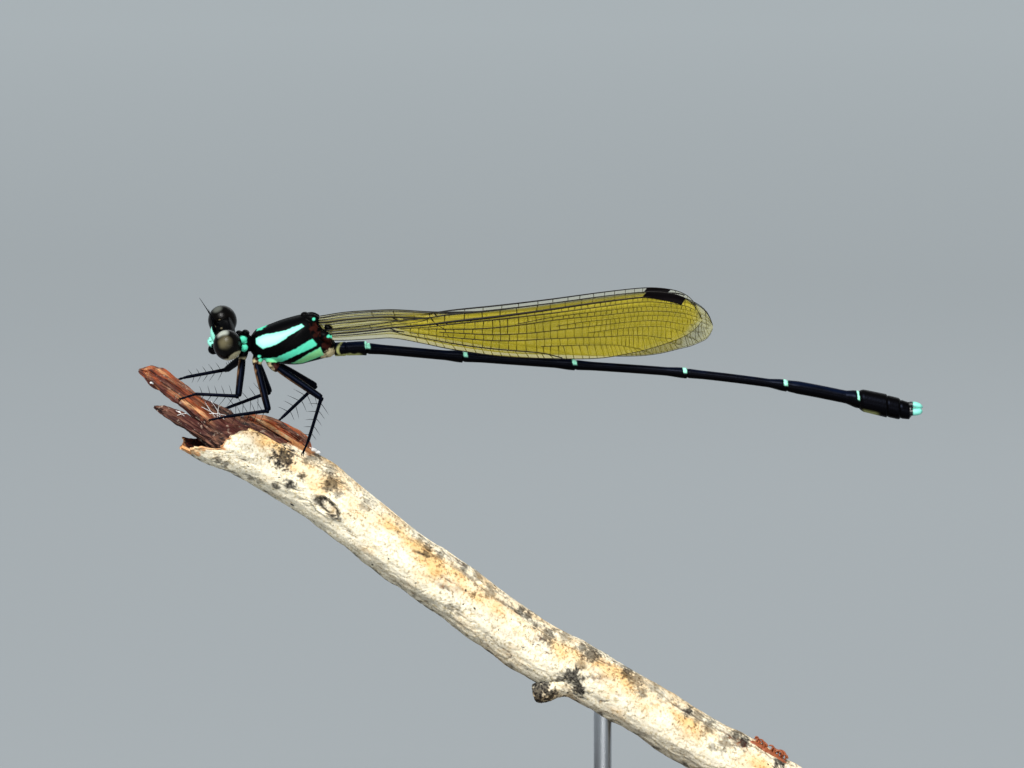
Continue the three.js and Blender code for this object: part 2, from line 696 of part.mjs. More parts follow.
// A rod from just over the base to just under the twig, its top end following the bark
function rod(x) {
  const top = TWIG.find((station) => station[0] > x)[1] + SPECIMEN_LIFT + 1;
  const bottom = BASE_THICKNESS + GAP;
  const shape = new THREE.CylinderGeometry(ROD_RADIUS, ROD_RADIUS, top - bottom, 20);
  shape.rotateX(Math.PI / 2);
  shape.translate(x, 0, (top + bottom) / 2);
  const under = solidOf(shape).subtract(twigTube(GAP).translate([0, 0, SPECIMEN_LIFT]));
  const pieces = under.decompose();
  return pieces.reduce((low, next) => (next.boundingBox().min[2] < low.boundingBox().min[2] ? next : low));
}

addNode(root, "stand_base", standBase(), "base");
for (const [name, x] of Object.entries(ROD_PLACES)) {
  addNode(root, name, rod(x), "steel");
}

export default root;
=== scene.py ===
import math
import bmesh
import bpy
from mathutils import Matrix, Vector, noise


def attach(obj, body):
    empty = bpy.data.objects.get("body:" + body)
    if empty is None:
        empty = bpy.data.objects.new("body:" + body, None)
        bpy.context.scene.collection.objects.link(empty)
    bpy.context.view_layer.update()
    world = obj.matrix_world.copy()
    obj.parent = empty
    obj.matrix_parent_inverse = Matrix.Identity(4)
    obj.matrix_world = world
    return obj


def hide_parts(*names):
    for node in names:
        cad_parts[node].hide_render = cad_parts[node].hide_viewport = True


# The male threadtail damselfly on its broken twig, modelled in millimetres piece by piece over the
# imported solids. The head is towards -X, its left side towards -Y, and each piece ends up in metres.
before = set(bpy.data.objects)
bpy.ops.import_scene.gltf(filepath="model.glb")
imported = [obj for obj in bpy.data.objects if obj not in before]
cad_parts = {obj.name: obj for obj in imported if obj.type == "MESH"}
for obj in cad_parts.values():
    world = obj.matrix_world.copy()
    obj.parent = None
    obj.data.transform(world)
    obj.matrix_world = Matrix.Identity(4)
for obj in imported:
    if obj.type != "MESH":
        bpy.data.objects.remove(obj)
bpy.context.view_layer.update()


# Camera and light
# The insect is seen from its left side, a few degrees from above, through a long lens.
# A low window sun behind the camera is the main light, with a soft box overhead for the broad
# highlights, a weak fill from below and a rim light behind.

def stand_camera(target, azimuth, elevation, distance, width):
    a, e = math.radians(azimuth), math.radians(elevation)
    out = Vector((math.sin(a) * math.cos(e), -math.cos(a) * math.cos(e), math.sin(e)))
    data = bpy.data.cameras.new("long_lens")
    data.sensor_width = 36
    data.lens = 36 * distance / width
    data.clip_start = 0.01
    data.clip_end = 20
    made = bpy.data.objects.new("long_lens", data)
    bpy.context.scene.collection.objects.link(made)
    made.location = target + out * distance
    made.rotation_euler = (target - made.location).to_track_quat("-Z", "Y").to_euler()
    bpy.context.scene.camera = made


def soft_box(name, place, target, size, power, tint):
    data = bpy.data.lights.new(name, "AREA")
    data.shape = "RECTANGLE"
    data.size, data.size_y = size
    data.energy = power
    data.color = tint
    made = bpy.data.objects.new(name, data)
    bpy.context.scene.collection.objects.link(made)
    made.location = place
    made.rotation_euler = (Vector(target) - Vector(place)).to_track_quat("-Z", "Y").to_euler()


stand_camera(Vector((-0.00095, 0, 0.02523)), 0, 6, 0.5, 0.0512)
middle = (-0.002, 0, 0.022)
soft_box("overhead_box", (-0.06, -0.16, 0.2), middle, (0.16, 0.11), 0.2, (1, 0.98, 0.95))
soft_box("low_fill", (0.03, -0.26, 0.02), middle, (0.24, 0.03), 0.13, (1, 0.99, 0.96))
soft_box("back_rim", (0.05, 0.22, 0.16), middle, (0.2, 0.1), 0.06, (1, 1, 1))
lamp = bpy.data.lights.new("window_sun", "SUN")
lamp.energy = 3.3
lamp.angle = math.radians(16)
lamp.color = (1, 0.985, 0.96)
window = bpy.data.objects.new("window_sun", lamp)
bpy.context.scene.collection.objects.link(window)
window.rotation_euler = Vector((0.2, 1.0, -1)).to_track_quat("-Z", "Y").to_euler()

world = bpy.data.worlds.new("studio_air")
bpy.context.scene.world = world
world.use_nodes = True
world.node_tree.nodes["Background"].inputs["Color"].default_value = (0.62, 0.68, 0.72, 1)
world.node_tree.nodes["Background"].inputs["Strength"].default_value = 0.42
bpy.context.scene.view_settings.view_transform = "Standard"


# Floor and backdrop
# A plain pale sheet of painted board, rolled up far behind the stand in one sweep.

FLAT_END = 5.0
CURVE = 0.5

def hue(code):
    """An sRGB hex colour as linear values."""
    parts = [int(code[i:i + 2], 16) / 255 for i in (1, 3, 5)]
    return [c / 12.92 if c <= 0.04045 else ((c + 0.055) / 1.055) ** 2.4 for c in parts] + [1]


def put(tree, kind, sockets=None, **settings):
    """A node with its settings, and each socket either linked or set."""
    made = tree.nodes.new(kind)
    for key, value in settings.items():
        setattr(made, key, value)
    for key, value in (sockets or {}).items():
        if isinstance(value, bpy.types.NodeSocket):
            tree.links.new(value, made.inputs[key])
        else:
            made.inputs[key].default_value = value
    return made


def finish_named(name):
    """An empty material, its tree and its object coordinates in metres."""
    made = bpy.data.materials.new(name)
    made.use_nodes = True
    tree = made.node_tree
    tree.nodes.clear()
    place = put(tree, "ShaderNodeTexCoord").outputs["Object"]
    return made, tree, place


def clouds(tree, place, scale, detail=2.0, roughness=0.5):
    """Cloudy noise with a number of cells to the metre."""
    return put(tree, "ShaderNodeTexNoise", {"Vector": place, "Scale": scale, "Detail": detail,
                                            "Roughness": roughness}).outputs[0]


def between(tree, value, low=0.0, high=1.0, first=0.0, last=1.0):
    """The value between two limits, spread from first to last."""
    return put(tree, "ShaderNodeMapRange", {"Value": value, "From Min": low, "From Max": high,
                                            "To Min": first, "To Max": last}).outputs[0]


def blend(tree, share, *ends):
    """One colour running into another, each a hex code or a node's colour."""
    first, second = (hue(end) if isinstance(end, str) else end for end in ends)
    return put(tree, "ShaderNodeMix", {0: share, 6: first, 7: second},
               data_type="RGBA").outputs[2]


def shown(tree, sockets):
    shader = put(tree, "ShaderNodeBsdfPrincipled", sockets)
    put(tree, "ShaderNodeOutputMaterial", {"Surface": shader.outputs[0]})


board, tree, place = finish_named("painted_board")
grey = clouds(tree, place, 4.0)
tone = blend(tree, grey, "#999fa3", "#9ca2a6")
depth = put(tree, "ShaderNodeSeparateXYZ", {"Vector": place})
# Painted light: the sheet's colour is graded a little lighter towards the back, where less light
# falls on it
away = between(tree, depth.outputs["Y"], 0.22, 0.62)
tone = blend(tree, away, tone, "#a8afb3")
shown(tree, {"Base Color": tone, "Roughness": 1.0, "Specular IOR Level": 0.0})

bpy.ops.object.select_all(action="DESELECT")
bpy.ops.mesh.primitive_grid_add(x_subdivisions=2, y_subdivisions=120, size=2)
sweep = bpy.context.object
sweep.name = "board_sweep"
for corner in sweep.data.vertices:
    run = (corner.co.y + 1) / 2 * 7.0
    corner.co.x *= 3.0
    turn = min(max((run - FLAT_END) / CURVE, 0), 1) * math.pi / 2
    rise = 0.32 * (1 - math.cos(turn)) + max(run - FLAT_END - CURVE, 0)
    corner.co.y = -2.5 + min(run, FLAT_END) + 0.32 * math.sin(turn)
    corner.co.z = rise
for face in sweep.data.polygons:
    face.use_smooth = True
sweep.data.materials.append(board)


# Abdomen
# A very slender rod of ten rings in black cuticle, a blue sheen painted along its back. Each ring
# swells at its rear, where the next slides out of it, and opens with a narrow turquoise collar.
# The claspers end it.

LIFT = 1.5


def smooth_between(table, x):
    """The values of a table of stations at x, on a smooth curve through them."""
    last = len(table) - 1
    i = 0
    while i < last - 1 and x > table[i + 1][0]:
        i += 1
    a, b = table[i], table[i + 1]
    span = b[0] - a[0]
    t = min(max((x - a[0]) / span, 0), 1)
    before, after = table[max(i - 1, 0)], table[min(i + 2, last)]
    found = []
    for k in range(1, len(a)):
        rise = b[k] - a[k]
        come = (b[k] - before[k]) / (b[0] - before[0]) * span if i > 0 else rise
        leave = (after[k] - a[k]) / (after[0] - a[0]) * span if i < last - 1 else rise
        found.append((2 * t**3 - 3 * t**2 + 1) * a[k] + (t**3 - 2 * t**2 + t) * come
                     + (3 * t**2 - 2 * t**3) * b[k] + (t**3 - t**2) * leave)
    return found


def ramp(low, high, x):
    t = min(max((x - low) / (high - low), 0), 1)
    return t * t * (3 - 2 * t)


def rolled(name, steps, sides, place, closed=True):
    """A flat grid laid along u and rolled round along v, with the seam and the poles welded."""
    bpy.ops.object.select_all(action="DESELECT")
    bpy.ops.mesh.primitive_grid_add(x_subdivisions=steps, y_subdivisions=sides, size=2)
    piece = bpy.context.object
    piece.name = piece.data.name = name
    for corner in piece.data.vertices:
        corner.co = place((corner.co.x + 1) / 2, (corner.co.y + 1) / 2)
    if closed:
        bpy.ops.object.mode_set(mode="EDIT")
        bpy.ops.mesh.select_all(action="SELECT")
        bpy.ops.mesh.remove_doubles(threshold=0.0004)
        bpy.ops.mesh.normals_make_consistent(inside=False)
        bpy.ops.object.mode_set(mode="OBJECT")
    return piece


def marked(piece, **masks):
    """Soft masks kept on the points, each a number or a function of the point in millimetres."""
    for name, value in masks.items():
        layer = piece.data.attributes.new(name, "FLOAT", "POINT")
        layer.data.foreach_set("value", [value(corner.co) if callable(value) else value
                                         for corner in piece.data.vertices])


def picked(pieces):
    bpy.ops.object.select_all(action="DESELECT")
    for piece in pieces:
        piece.select_set(True)
    bpy.context.view_layer.objects.active = pieces[0]


def mounted(piece, material, slot, *nodes, angle=40):
    """The piece goes from millimetres to metres, gets its finish, and stands for its nodes."""
    picked([piece])
    piece.scale = (0.001, 0.001, 0.001)
    bpy.ops.object.transform_apply(location=True, rotation=True, scale=True)
    bpy.ops.object.shade_smooth_by_angle(angle=math.radians(angle))
    piece.data.materials.clear()
    piece.data.materials.append(material)
    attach(piece, "root")
    if nodes:
        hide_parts(*nodes)


# Line of the middle of the abdomen: x, z
ABDOMEN_LINE = [(-9.9, 25.46), (-9.0, 25.51), (-8.2, 25.52), (-3.4, 25.1), (2.2, 24.69),
                (7.8, 24.27), (12.8, 23.64), (16.4, 22.94), (19.0, 22.36), (19.5, 22.3)]
# Rear ends of the rings, and the radius of each at its front, waist and rear
RING_ENDS = [(-9.25, 0.3, 0.34, 0.36), (-8.2, 0.35, 0.34, 0.36), (-3.4, 0.28, 0.25, 0.3),
             (2.2, 0.26, 0.225, 0.28), (7.8, 0.25, 0.22, 0.27), (12.8, 0.24, 0.22, 0.3),
             (16.4, 0.29, 0.33, 0.44), (17.8, 0.48, 0.56, 0.59), (18.45, 0.55, 0.55, 0.54),
             (18.98, 0.5, 0.48, 0.42)]
# Turquoise collars: middle along x, half length
COLLARS = [(-8.14, 0.16), (-3.25, 0.14), (2.2, 0.14), (7.72, 0.12), (12.76, 0.12), (16.4, 0.06)]


FRONT, REAR = -9.9, 19.0


def abdomen_radius(x):
    front = FRONT
    for end, first, waist, rear in RING_ENDS:
        if x <= end or end == RING_ENDS[-1][0]:
            break
        front = end
    share = min(max((x - front) / (end - front), 0), 1)
    collar = (first - waist) * (1 - ramp(0.0, 0.18, share))
    swell = (rear - waist) * ramp(0.8, 0.97, share) if end - front > 2.5 else (rear - waist) * share
    lip = 0.05 * ramp(0.04, 0.0, end - x)
    if x > 18.2:
        lip += 0.03 * ramp(0.12, 0.0, abs(x - 18.46))
    step = 0.035 * ramp(0.1, 0.0, x - front)
    return waist + collar + swell - step - lip * 0.6


def abdomen_point(u, v):
    x = FRONT + (REAR - FRONT) * u
    z = smooth_between(ABDOMEN_LINE, x)[0]
    r = abdomen_radius(x)
    r *= min(1, math.sqrt(max(0, (REAR - x) * 12))) * min(1, math.sqrt(max(0, (x - FRONT) * 8)))
    around = 2 * math.pi * v
    return Vector((x, r * 0.96 * math.cos(around), z + r * math.sin(around) + LIFT))


def ragged(co, size, height):
    return noise.noise(Vector(co) / size) * height


def grit(x, y, z):
    return noise.noise(Vector((x, y, z)))


def collar_at(co):
    paint = 0
    z = smooth_between(ABDOMEN_LINE, co.x)[0] + LIFT
    height = (co.z - z) / 0.25
    for middle, half in COLLARS:
        cover = 1 - abs(co.x - middle + 0.04 * height) / half + 0.3 * ragged(co, 0.08, 1)
        paint = max(paint, ramp(0.05, 0.4, cover) * ramp(-0.05, 0.35, height))
    return paint


def sheen_at(co):
    """A painted bluish sheen along the back, a highlight where the light falls on top; gone on the
    brown-black last rings.
    """
    z = smooth_between(ABDOMEN_LINE, co.x)[0] + LIFT
    return ramp(0.4, 1.0, (co.z - z) / 0.27 + ragged(co, 0.5, 0.25)) * ramp(16.6, 15.4, co.x)


def pale_belly_at(co):
    """The straw-coloured lower edge of the first two rings."""
    z = smooth_between(ABDOMEN_LINE, co.x)[0] + LIFT
    low = ramp(-0.22, -0.3, co.z - z + ragged(co, 0.3, 0.08)) * ramp(-8.3, -8.7, co.x)
    low = max(low, ramp(0.1, 0.03, abs(co.x + 9.66 - 0.14 * ((co.z - z) / 0.3) ** 2)) * 0.9)
    rear = ramp(-0.36, -0.48, co.z - z) * ramp(16.5, 16.7, co.x) * ramp(17.5, 17.2, co.x) * 0.8
    return max(low, rear)


abdomen = rolled("abdomen_skin", 760, 40, abdomen_point)
marked(abdomen, collar=collar_at, belly=pale_belly_at, sheen=sheen_at)


def mask(tree, name):
    """A mask of the piece's points, by its name."""
    return put(tree, "ShaderNodeAttribute", attribute_name=name).outputs["Fac"]


def relieved(tree, height, strength, distance):
    """Fine relief over the surface, its depth in metres."""
    return put(tree, "ShaderNodeBump", {"Height": height, "Strength": strength,
                                        "Distance": distance}).outputs[0]


# Insect cuticle, tanned black, with a painted bluish sheen along the back standing in for its
# highlight; it gives a soft waxy gloss with fine pitting
cuticle, tree, place = finish_named("black_blue_cuticle")
grain = clouds(tree, place, 9000.0, 3.0)
bloom = clouds(tree, place, 700.0, 2.0)
sheen = mask(tree, "sheen")
dull = blend(tree, bloom, "#010101", "#060403")
# Painted highlight: the navy sheen mixed in along the top of the abdomen
black = blend(tree, sheen, dull, "#050d20")
collar = mask(tree, "collar")
straw = mask(tree, "belly")
with_belly = blend(tree, straw, black, "#a2a569")
colour = blend(tree, collar, with_belly, "#a5f5d8")
pits = relieved(tree, grain, 0.25, 0.00003)
shown(tree, {"Base Color": colour, "Roughness": 0.36, "Specular IOR Level": 0.06,
             "Specular Tint": hue("#b9ccff"), "Normal": pits})

mounted(abdomen, cuticle, "chitin_black", "abdomen_s1_s2", "abdomen_s3", "abdomen_s4",
        "abdomen_s5", "abdomen_s6", "abdomen_s7", "abdomen_s8", "abdomen_s9_s10")


# Claspers
# Two upper hooks and two lower ones on the tail's end plate, turquoise with dark tips.

def swept(name, line, radii, sides=14, steps=28, flat=1.0):
    """A round bar along a smooth line of points, with a radius at each and rounded ends."""
    stations = [(i, *p, r) for i, (p, r) in enumerate(zip(line, radii))]
    last = len(line) - 1

    def place(u, v):
        at = last * u
        x, y, z, r = smooth_between(stations, at)
        ahead = smooth_between(stations, min(at + 0.02, last))
        behind = smooth_between(stations, max(at - 0.02, 0))
        along = Vector((ahead[0] - behind[0], ahead[1] - behind[1], ahead[2] - behind[2]))
        along.normalize()
        side = Vector((0, 1, 0)) - along * along.y
        side.normalize()
        up = along.cross(side)
        r *= math.sqrt(max(0, 1 - (1 - min(u * last * 5, 1)) ** 2))
        r *= math.sqrt(max(0, 1 - (1 - min((1 - u) * last * 5, 1)) ** 2))
        around = 2 * math.pi * v
        out = side * (r * flat * math.cos(around)) + up * (r * math.sin(around))
        return Vector((x, y, z)) + out

    return rolled(name, steps, sides, place)


def lifted(line, side=1):
    """A line over the specimen's own zero, set at the height of the stand and on one side."""
    return [(x, side * y, z + LIFT) for x, y, z in line]


def paired(table, steps, sides):
    """Bars on both sides of the body, from a table of their names, lines and radii."""
    return [swept(name, lifted(line, side), radii, sides, steps)
            for side in (-1, 1) for name, line, radii in table]


def welded(name, pieces):
    """Several meshes in one object."""
    picked(pieces)
    bpy.ops.object.join()
    whole = bpy.context.object
    whole.name = whole.data.name = name
    return whole


claspers = paired([
    ("upper_clasper", [(18.85, 0.16, 22.7), (19.2, 0.2, 22.7), (19.42, 0.2, 22.64),
                       (19.58, 0.12, 22.56)], [0.12, 0.12, 0.1, 0.05]),
    ("lower_clasper", [(18.85, 0.17, 22.34), (19.15, 0.2, 22.34), (19.4, 0.18, 22.36),
                       (19.56, 0.12, 22.4)], [0.17, 0.18, 0.16, 0.07])], 28, 14)
claspers.append(swept("tail_plate", lifted([(18.8, 0, 22.4), (19.0, 0, 22.36), (19.1, 0, 22.34)]),
                      [0.32, 0.34, 0.18]))
claspers = welded("claspers", claspers)


def maths(tree, operation, *values):
    return put(tree, "ShaderNodeMath", dict(enumerate(values)), operation=operation).outputs[0]


# The same cuticle, untanned: turquoise pigment under a satin surface, darker towards the tips
clasper_blue, tree, place = finish_named("turquoise_clasper_cuticle")
axis = put(tree, "ShaderNodeSeparateXYZ", {"Vector": place})
dark = between(tree, axis.outputs["X"], 0.01945, 0.0198)
front = between(tree, axis.outputs["X"], 0.01913, 0.01907)
both = maths(tree, "MAXIMUM", dark, front)
colour = blend(tree, both, "#86e0cf", "#0d1216")
shown(tree, {"Base Color": colour, "Roughness": 0.4})
mounted(claspers, clasper_blue, "chitin_striped", "anal_appendages")


# Synthorax
# The deep slanting box of flight muscle, black with turquoise stripes along its flanks, a keel on
# its back, red-brown hinge plates under the wings and brown hip sockets below.

# Stations: x, top, underside, half width
SYNTHORAX = [(-14.16, 26.2, 25.3, 0.34), (-13.95, 26.36, 25.1, 0.6), (-13.5, 26.54, 24.98, 0.88),
             (-13.0, 26.74, 24.86, 1.0), (-12.5, 26.93, 24.76, 1.09), (-12.0, 27.08, 24.72, 1.13),
             (-11.5, 27.2, 24.74, 1.1), (-11.1, 27.24, 24.84, 1.0), (-10.7, 27.0, 24.94, 0.9),
             (-10.3, 26.5, 25.04, 0.74), (-9.95, 26.05, 25.1, 0.54), (-9.6, 25.78, 25.2, 0.3)]


def synthorax_point(u, v):
    ease = 0.5 - 0.5 * math.cos(math.pi * u)
    x = SYNTHORAX[0][0] + 4.56 * (0.75 * u + 0.25 * ease)
    top, under, half = smooth_between(SYNTHORAX, x)
    around = 2 * math.pi * v
    rise, out = math.sin(around), math.cos(around)
    close = math.sqrt(max(0, min(1, u * 9))) * math.sqrt(max(0, min(1, (1 - u) * 9)))
    y = half * close * math.copysign(abs(out) ** 0.85, out)
    z = (top + under) / 2 + (top - under) / 2 * close * math.copysign(abs(rise) ** 0.95, rise)
    keel = 0.05 * max(0, 1 - abs(y) / 0.09) * (rise > 0)
    # The three seams between the plates of the flank
    seam = 0
    for foot, head_x in ((-13.1, -11.1), (-12.1, -10.4)):
        line = foot + (head_x - foot) * (z - 24.8) / 2.2
        seam = max(seam, math.exp(-((x - line) / 0.05) ** 2))
    shrink = 1 - 0.012 * seam * abs(out)
    return Vector((x, y * shrink, z + keel + LIFT))


# Outlines of the stripes, seen from the side: x, z over the specimen's own zero
UPPER_STRIPE = [(-13.75, 26.1), (-13.38, 26.28), (-12.45, 26.46), (-11.45, 26.82), (-11.33, 26.72),
                (-12.3, 26.1), (-12.7, 25.8), (-13.38, 25.6), (-13.72, 25.8)]
MIDDLE_STRIPE = [(-13.38, 25.08), (-12.7, 25.14), (-11.7, 25.64), (-10.92, 26.1), (-10.68, 25.84),
                 (-10.74, 25.74), (-11.45, 25.38), (-12.45, 24.92), (-13.38, 24.92)]
LOWER_STRIPE = [(-11.95, 24.82), (-11.2, 25.28), (-10.52, 25.64), (-10.36, 25.24), (-11.45, 24.8)]
FAR_SLIVER = [(-13.72, 26.42), (-13.64, 26.58), (-13.2, 26.82), (-13.14, 26.72), (-13.46, 26.5)]
DOTS = [(-10.84, 27.05, 0.075), (-9.94, 26.2, 0.08), (-10.1, 26.22, 0.09), (-13.5, 25.0, 0.1),
        (-13.56, 25.2, 0.08)]


def depth_inside(outline, x, z):
    """How far a point is inside an outline, or outside it as a negative number."""
    inside = False
    nearest = 9.0
    for (ax, az), (bx, bz) in zip(outline, outline[1:] + outline[:1]):
        if (az > z) != (bz > z) and x < ax + (bx - ax) * (z - az) / (bz - az):
            inside = not inside
        t = ((x - ax) * (bx - ax) + (z - az) * (bz - az)) / ((bx - ax) ** 2 + (bz - az) ** 2)
        t = min(max(t, 0), 1)
        nearest = min(nearest, math.hypot(x - ax - t * (bx - ax), z - az - t * (bz - az)))
    return nearest if inside else -nearest


def stripe_at(co):
    x, z = co.x, co.z - LIFT
    wander = ragged(co, 0.16, 0.03) + ragged(co, 0.5, 0.03)
    inside = max(depth_inside(shape, x, z) for shape in (UPPER_STRIPE, MIDDLE_STRIPE, LOWER_STRIPE))
    if z > 26.1 and abs(co.y) < 0.42:
        inside = depth_inside(FAR_SLIVER, x, z)
    return ramp(-0.03, 0.03, max(inside, in_spots(DOTS, x, z)) + wander)


# Painted highlight: the upper stripe, facing the light, paled nearly to white
def bright_at(co):
    return ramp(-0.1, 0.35, depth_inside(UPPER_STRIPE, co.x, co.z - LIFT) + 0.1)


def green_at(co):
    z = co.z - LIFT
    low = ramp(25.35, 24.9, z - 0.25 * (co.x + 12.4)) * ramp(-12.2, -13.2, co.x)
    return max(low, ramp(-0.1, 0.1, depth_inside(LOWER_STRIPE, co.x, z)) * 0.7)


# Spots on the flank, x, z, radius: red-brown plates under the wing roots and hips, and pale straw
HINGE_SPOTS = [(-10.84, 26.62, 0.19), (-10.72, 26.3, 0.14), (-10.12, 25.98, 0.22),
               (-10.2, 25.7, 0.16), (-13.66, 24.85, 0.16), (-12.75, 24.6, 0.2)]
STRAW_SPOTS = [(-9.98, 25.3, 0.26), (-13.86, 24.95, 0.1), (-13.46, 24.88, 0.1),
               (-13.05, 24.72, 0.12), (-12.9, 24.5, 0.08), (-10.35, 25.2, 0.16)]


def in_spots(spots, x, z):
    """How far inside the nearest of the round spots a point is."""
    return max(r - math.hypot(x - a, z - b) for a, b, r in spots)


def hinge_at(co):
    best = in_spots(HINGE_SPOTS, co.x, co.z - LIFT)
    return ramp(-0.1, 0.1, best + ragged(co, 0.12, 0.2)) * ramp(0.2, 0.4, abs(co.y))


def straw_at(co):
    best = in_spots(STRAW_SPOTS, co.x, co.z - LIFT)
    return ramp(-0.08, 0.08, best + ragged(co, 0.1, 0.12))


synthorax = rolled("synthorax_shell", 230, 150, synthorax_point)
knobs = paired([
    ("fore_hinge", [(-11.3, 0.42, 27.1), (-10.95, 0.46, 27.06), (-10.6, 0.44, 26.95)],
     [0.16, 0.25, 0.2]),
    ("hind_hinge", [(-10.6, 0.66, 26.35), (-10.3, 0.72, 26.2), (-9.95, 0.66, 26.05)],
     [0.16, 0.26, 0.18]),
    ("mid_hip", [(-13.55, 0.34, 25.3), (-13.66, 0.44, 24.98), (-13.71, 0.6, 24.7)],
     [0.3, 0.27, 0.19]),
    ("hind_hip", [(-13.0, 0.4, 25.1), (-12.88, 0.5, 24.76), (-12.6, 0.66, 24.5)],
     [0.32, 0.26, 0.19])], 40, 24)
knobs += paired([
    ("keel_knob", [(-11.5, 0.16, 27.16), (-11.3, 0.18, 27.2), (-11.1, 0.16, 27.14)],
     [0.1, 0.15, 0.1]),
    ("rear_knob", [(-10.3, 0.36, 26.7), (-10.1, 0.4, 26.56), (-9.9, 0.36, 26.4)],
     [0.1, 0.17, 0.1])], 30, 16)
synthorax = welded("synthorax_shell", [synthorax] + knobs)


def applied(piece, kind, **settings):
    """A modifier with its settings, applied at once."""
    bpy.ops.object.modifier_add(type=kind)
    for key, value in settings.items():
        setattr(piece.modifiers[-1], key, value)
    bpy.ops.object.modifier_apply(modifier=piece.modifiers[-1].name)


def fused(piece, voxel, rounds):
    """The welded lumps grown into one skin, and smoothed a little."""
    applied(piece, "REMESH", voxel_size=voxel)
    applied(piece, "CORRECTIVE_SMOOTH", iterations=rounds, use_only_smooth=True)


fused(synthorax, 0.028, 4)
marked(synthorax, stripe=stripe_at, bright=bright_at, green=green_at, hinge=hinge_at,
       straw=straw_at)

# Cuticle again, with a layer of turquoise pigment under the stripes, greener below; the upper
# stripe, which faces the light, is painted nearly white as a highlight; satin, with a finely
# shagreened surface
striped, tree, place = finish_named("striped_cuticle")
grain = clouds(tree, place, 14000.0, 2.0)
mottle = clouds(tree, place, 2600.0, 3.0)
masks = {name: mask(tree, name) for name in ("stripe", "bright", "green", "hinge", "straw")}
# Pale near-white mix: a painted highlight on the upper stripe, and a paler face bar on the head
blue = blend(tree, masks["bright"], "#55d3ae", "#b4fff0")
green = blend(tree, masks["green"], blue, "#8fcf7c")
brown = blend(tree, mottle, "#080303", "#401a12")
sand = blend(tree, mottle, "#7d6440", "#e9dfb4")
base = blend(tree, masks["hinge"], "#010102", brown)
base = blend(tree, masks["straw"], base, sand)
colour = blend(tree, masks["stripe"], base, green)
shagreen = relieved(tree, grain, 0.2, 0.00002)
shown(tree, {"Base Color": colour, "Roughness": 0.45, "Specular IOR Level": 0.045,
             "Normal": shagreen})
mounted(synthorax, striped, "chitin_striped", "synthorax")


# Prothorax and neck
# The small first ring: a humped black collar with two turquoise lobes on each side, the fore hips,
# and a short dark neck into the back of the head.

lobes = [swept(name, lifted(line), radii, sides, steps, flat)
         for name, line, radii, steps, sides, flat in (
    ("neck", [(-15.2, 0, 26.1), (-14.8, 0, 26.05), (-14.3, 0, 25.9)], [0.2, 0.19, 0.3],
     60, 40, 1),
    ("first_ring", [(-14.66, 0, 25.9), (-14.35, 0, 25.82), (-14.05, 0, 25.75), (-13.8, 0, 25.75)],
     [0.3, 0.46, 0.4, 0.3], 60, 40, 1.1),
    ("front_hump", [(-14.75, 0, 26.16), (-14.6, 0, 26.26), (-14.45, 0, 26.2)], [0.1, 0.17, 0.12],
     40, 30, 2),
    ("middle_hump", [(-14.42, 0, 26.22), (-14.28, 0, 26.3), (-14.1, 0, 26.2)], [0.1, 0.17, 0.12],
     40, 30, 2.2))]
lobes += paired([
    ("back_lobe", [(-14.62, 0.3, 26.02), (-14.42, 0.4, 26.02), (-14.2, 0.36, 25.96)],
     [0.12, 0.22, 0.14]),
    ("side_lobe", [(-14.56, 0.36, 25.62), (-14.36, 0.46, 25.6), (-14.14, 0.42, 25.58)],
     [0.13, 0.2, 0.12]),
    ("fore_hip", [(-14.3, 0.22, 25.55), (-14.38, 0.34, 25.22), (-14.47, 0.44, 24.98)],
     [0.22, 0.22, 0.18])], 40, 24)
prothorax = welded("prothorax_and_neck", lobes)
fused(prothorax, 0.024, 4)


def lobe_at(co):
    best = in_spots(((-14.38, 26.0, 0.2), (-14.32, 25.6, 0.18)), co.x, co.z - LIFT)
    return ramp(-0.03, 0.03, best + ragged(co, 0.15, 0.04)) * ramp(0.2, 0.3, abs(co.y))


marked(prothorax, stripe=lobe_at, bright=0.0, green=0.0, hinge=0.0,
       straw=lambda co: 0.6 * ramp(25.2, 25.0, co.z - LIFT))
mounted(prothorax, striped, "chitin_striped", "prothorax")


# Head
# A black dumb-bell with the eyes on its ends, rolled towards the camera: brow, face and mouthparts
# stand out in front, with a turquoise bar and patch on the face, and three bead eyes on the crown.

head_frame = (Matrix.Translation((-15.29, 0, 26.3 + LIFT))
              @ Matrix.Rotation(math.pi + math.radians(8), 4, "Z")
              @ Matrix.Rotation(-math.radians(23.6), 4, "X")
              @ Matrix.Rotation(math.radians(12), 4, "Y"))


def ball(name, centre, radii, rings=32):
    """A ball in the head's own frame, where +X is the face, +Y its left and +Z its crown."""
    bpy.ops.object.select_all(action="DESELECT")
    bpy.ops.mesh.primitive_uv_sphere_add(segments=2 * rings, ring_count=rings, radius=1)
    made = bpy.context.object
    made.name = made.data.name = name
    made.data.transform(head_frame @ Matrix.Translation(centre)
                        @ Matrix.Diagonal((*radii, 1)))
    return made


parts = [
    ball("crown", (-0.02, 0, 0.06), (0.5, 0.98, 0.52)),
    ball("brow", (0.36, 0, 0.0), (0.38, 0.8, 0.44)),
    ball("nose", (0.64, 0.04, -0.34), (0.32, 0.46, 0.22)),
    ball("upper_lip", (0.72, 0.06, -0.76), (0.28, 0.34, 0.24)),
    ball("lower_lip", (0.1, 0, -0.86), (0.5, 0.46, 0.24)),
    ball("back_of_head", (-0.3, 0, -0.12), (0.22, 1.62, 0.66), 48),
]
for side in (-1, 1):
    parts.append(ball("jaw", (0.26, side * 0.4, -0.58), (0.3, 0.2, 0.28)))
    parts.append(ball("bead_eye", (0.14, side * 0.42, 0.5), (0.09, 0.09, 0.09), 16))
parts.append(ball("bead_eye", (0.42, 0, 0.42), (0.09, 0.09, 0.09), 16))
head = welded("head_capsule", parts)
fused(head, 0.024, 3)
to_head = head_frame.inverted()


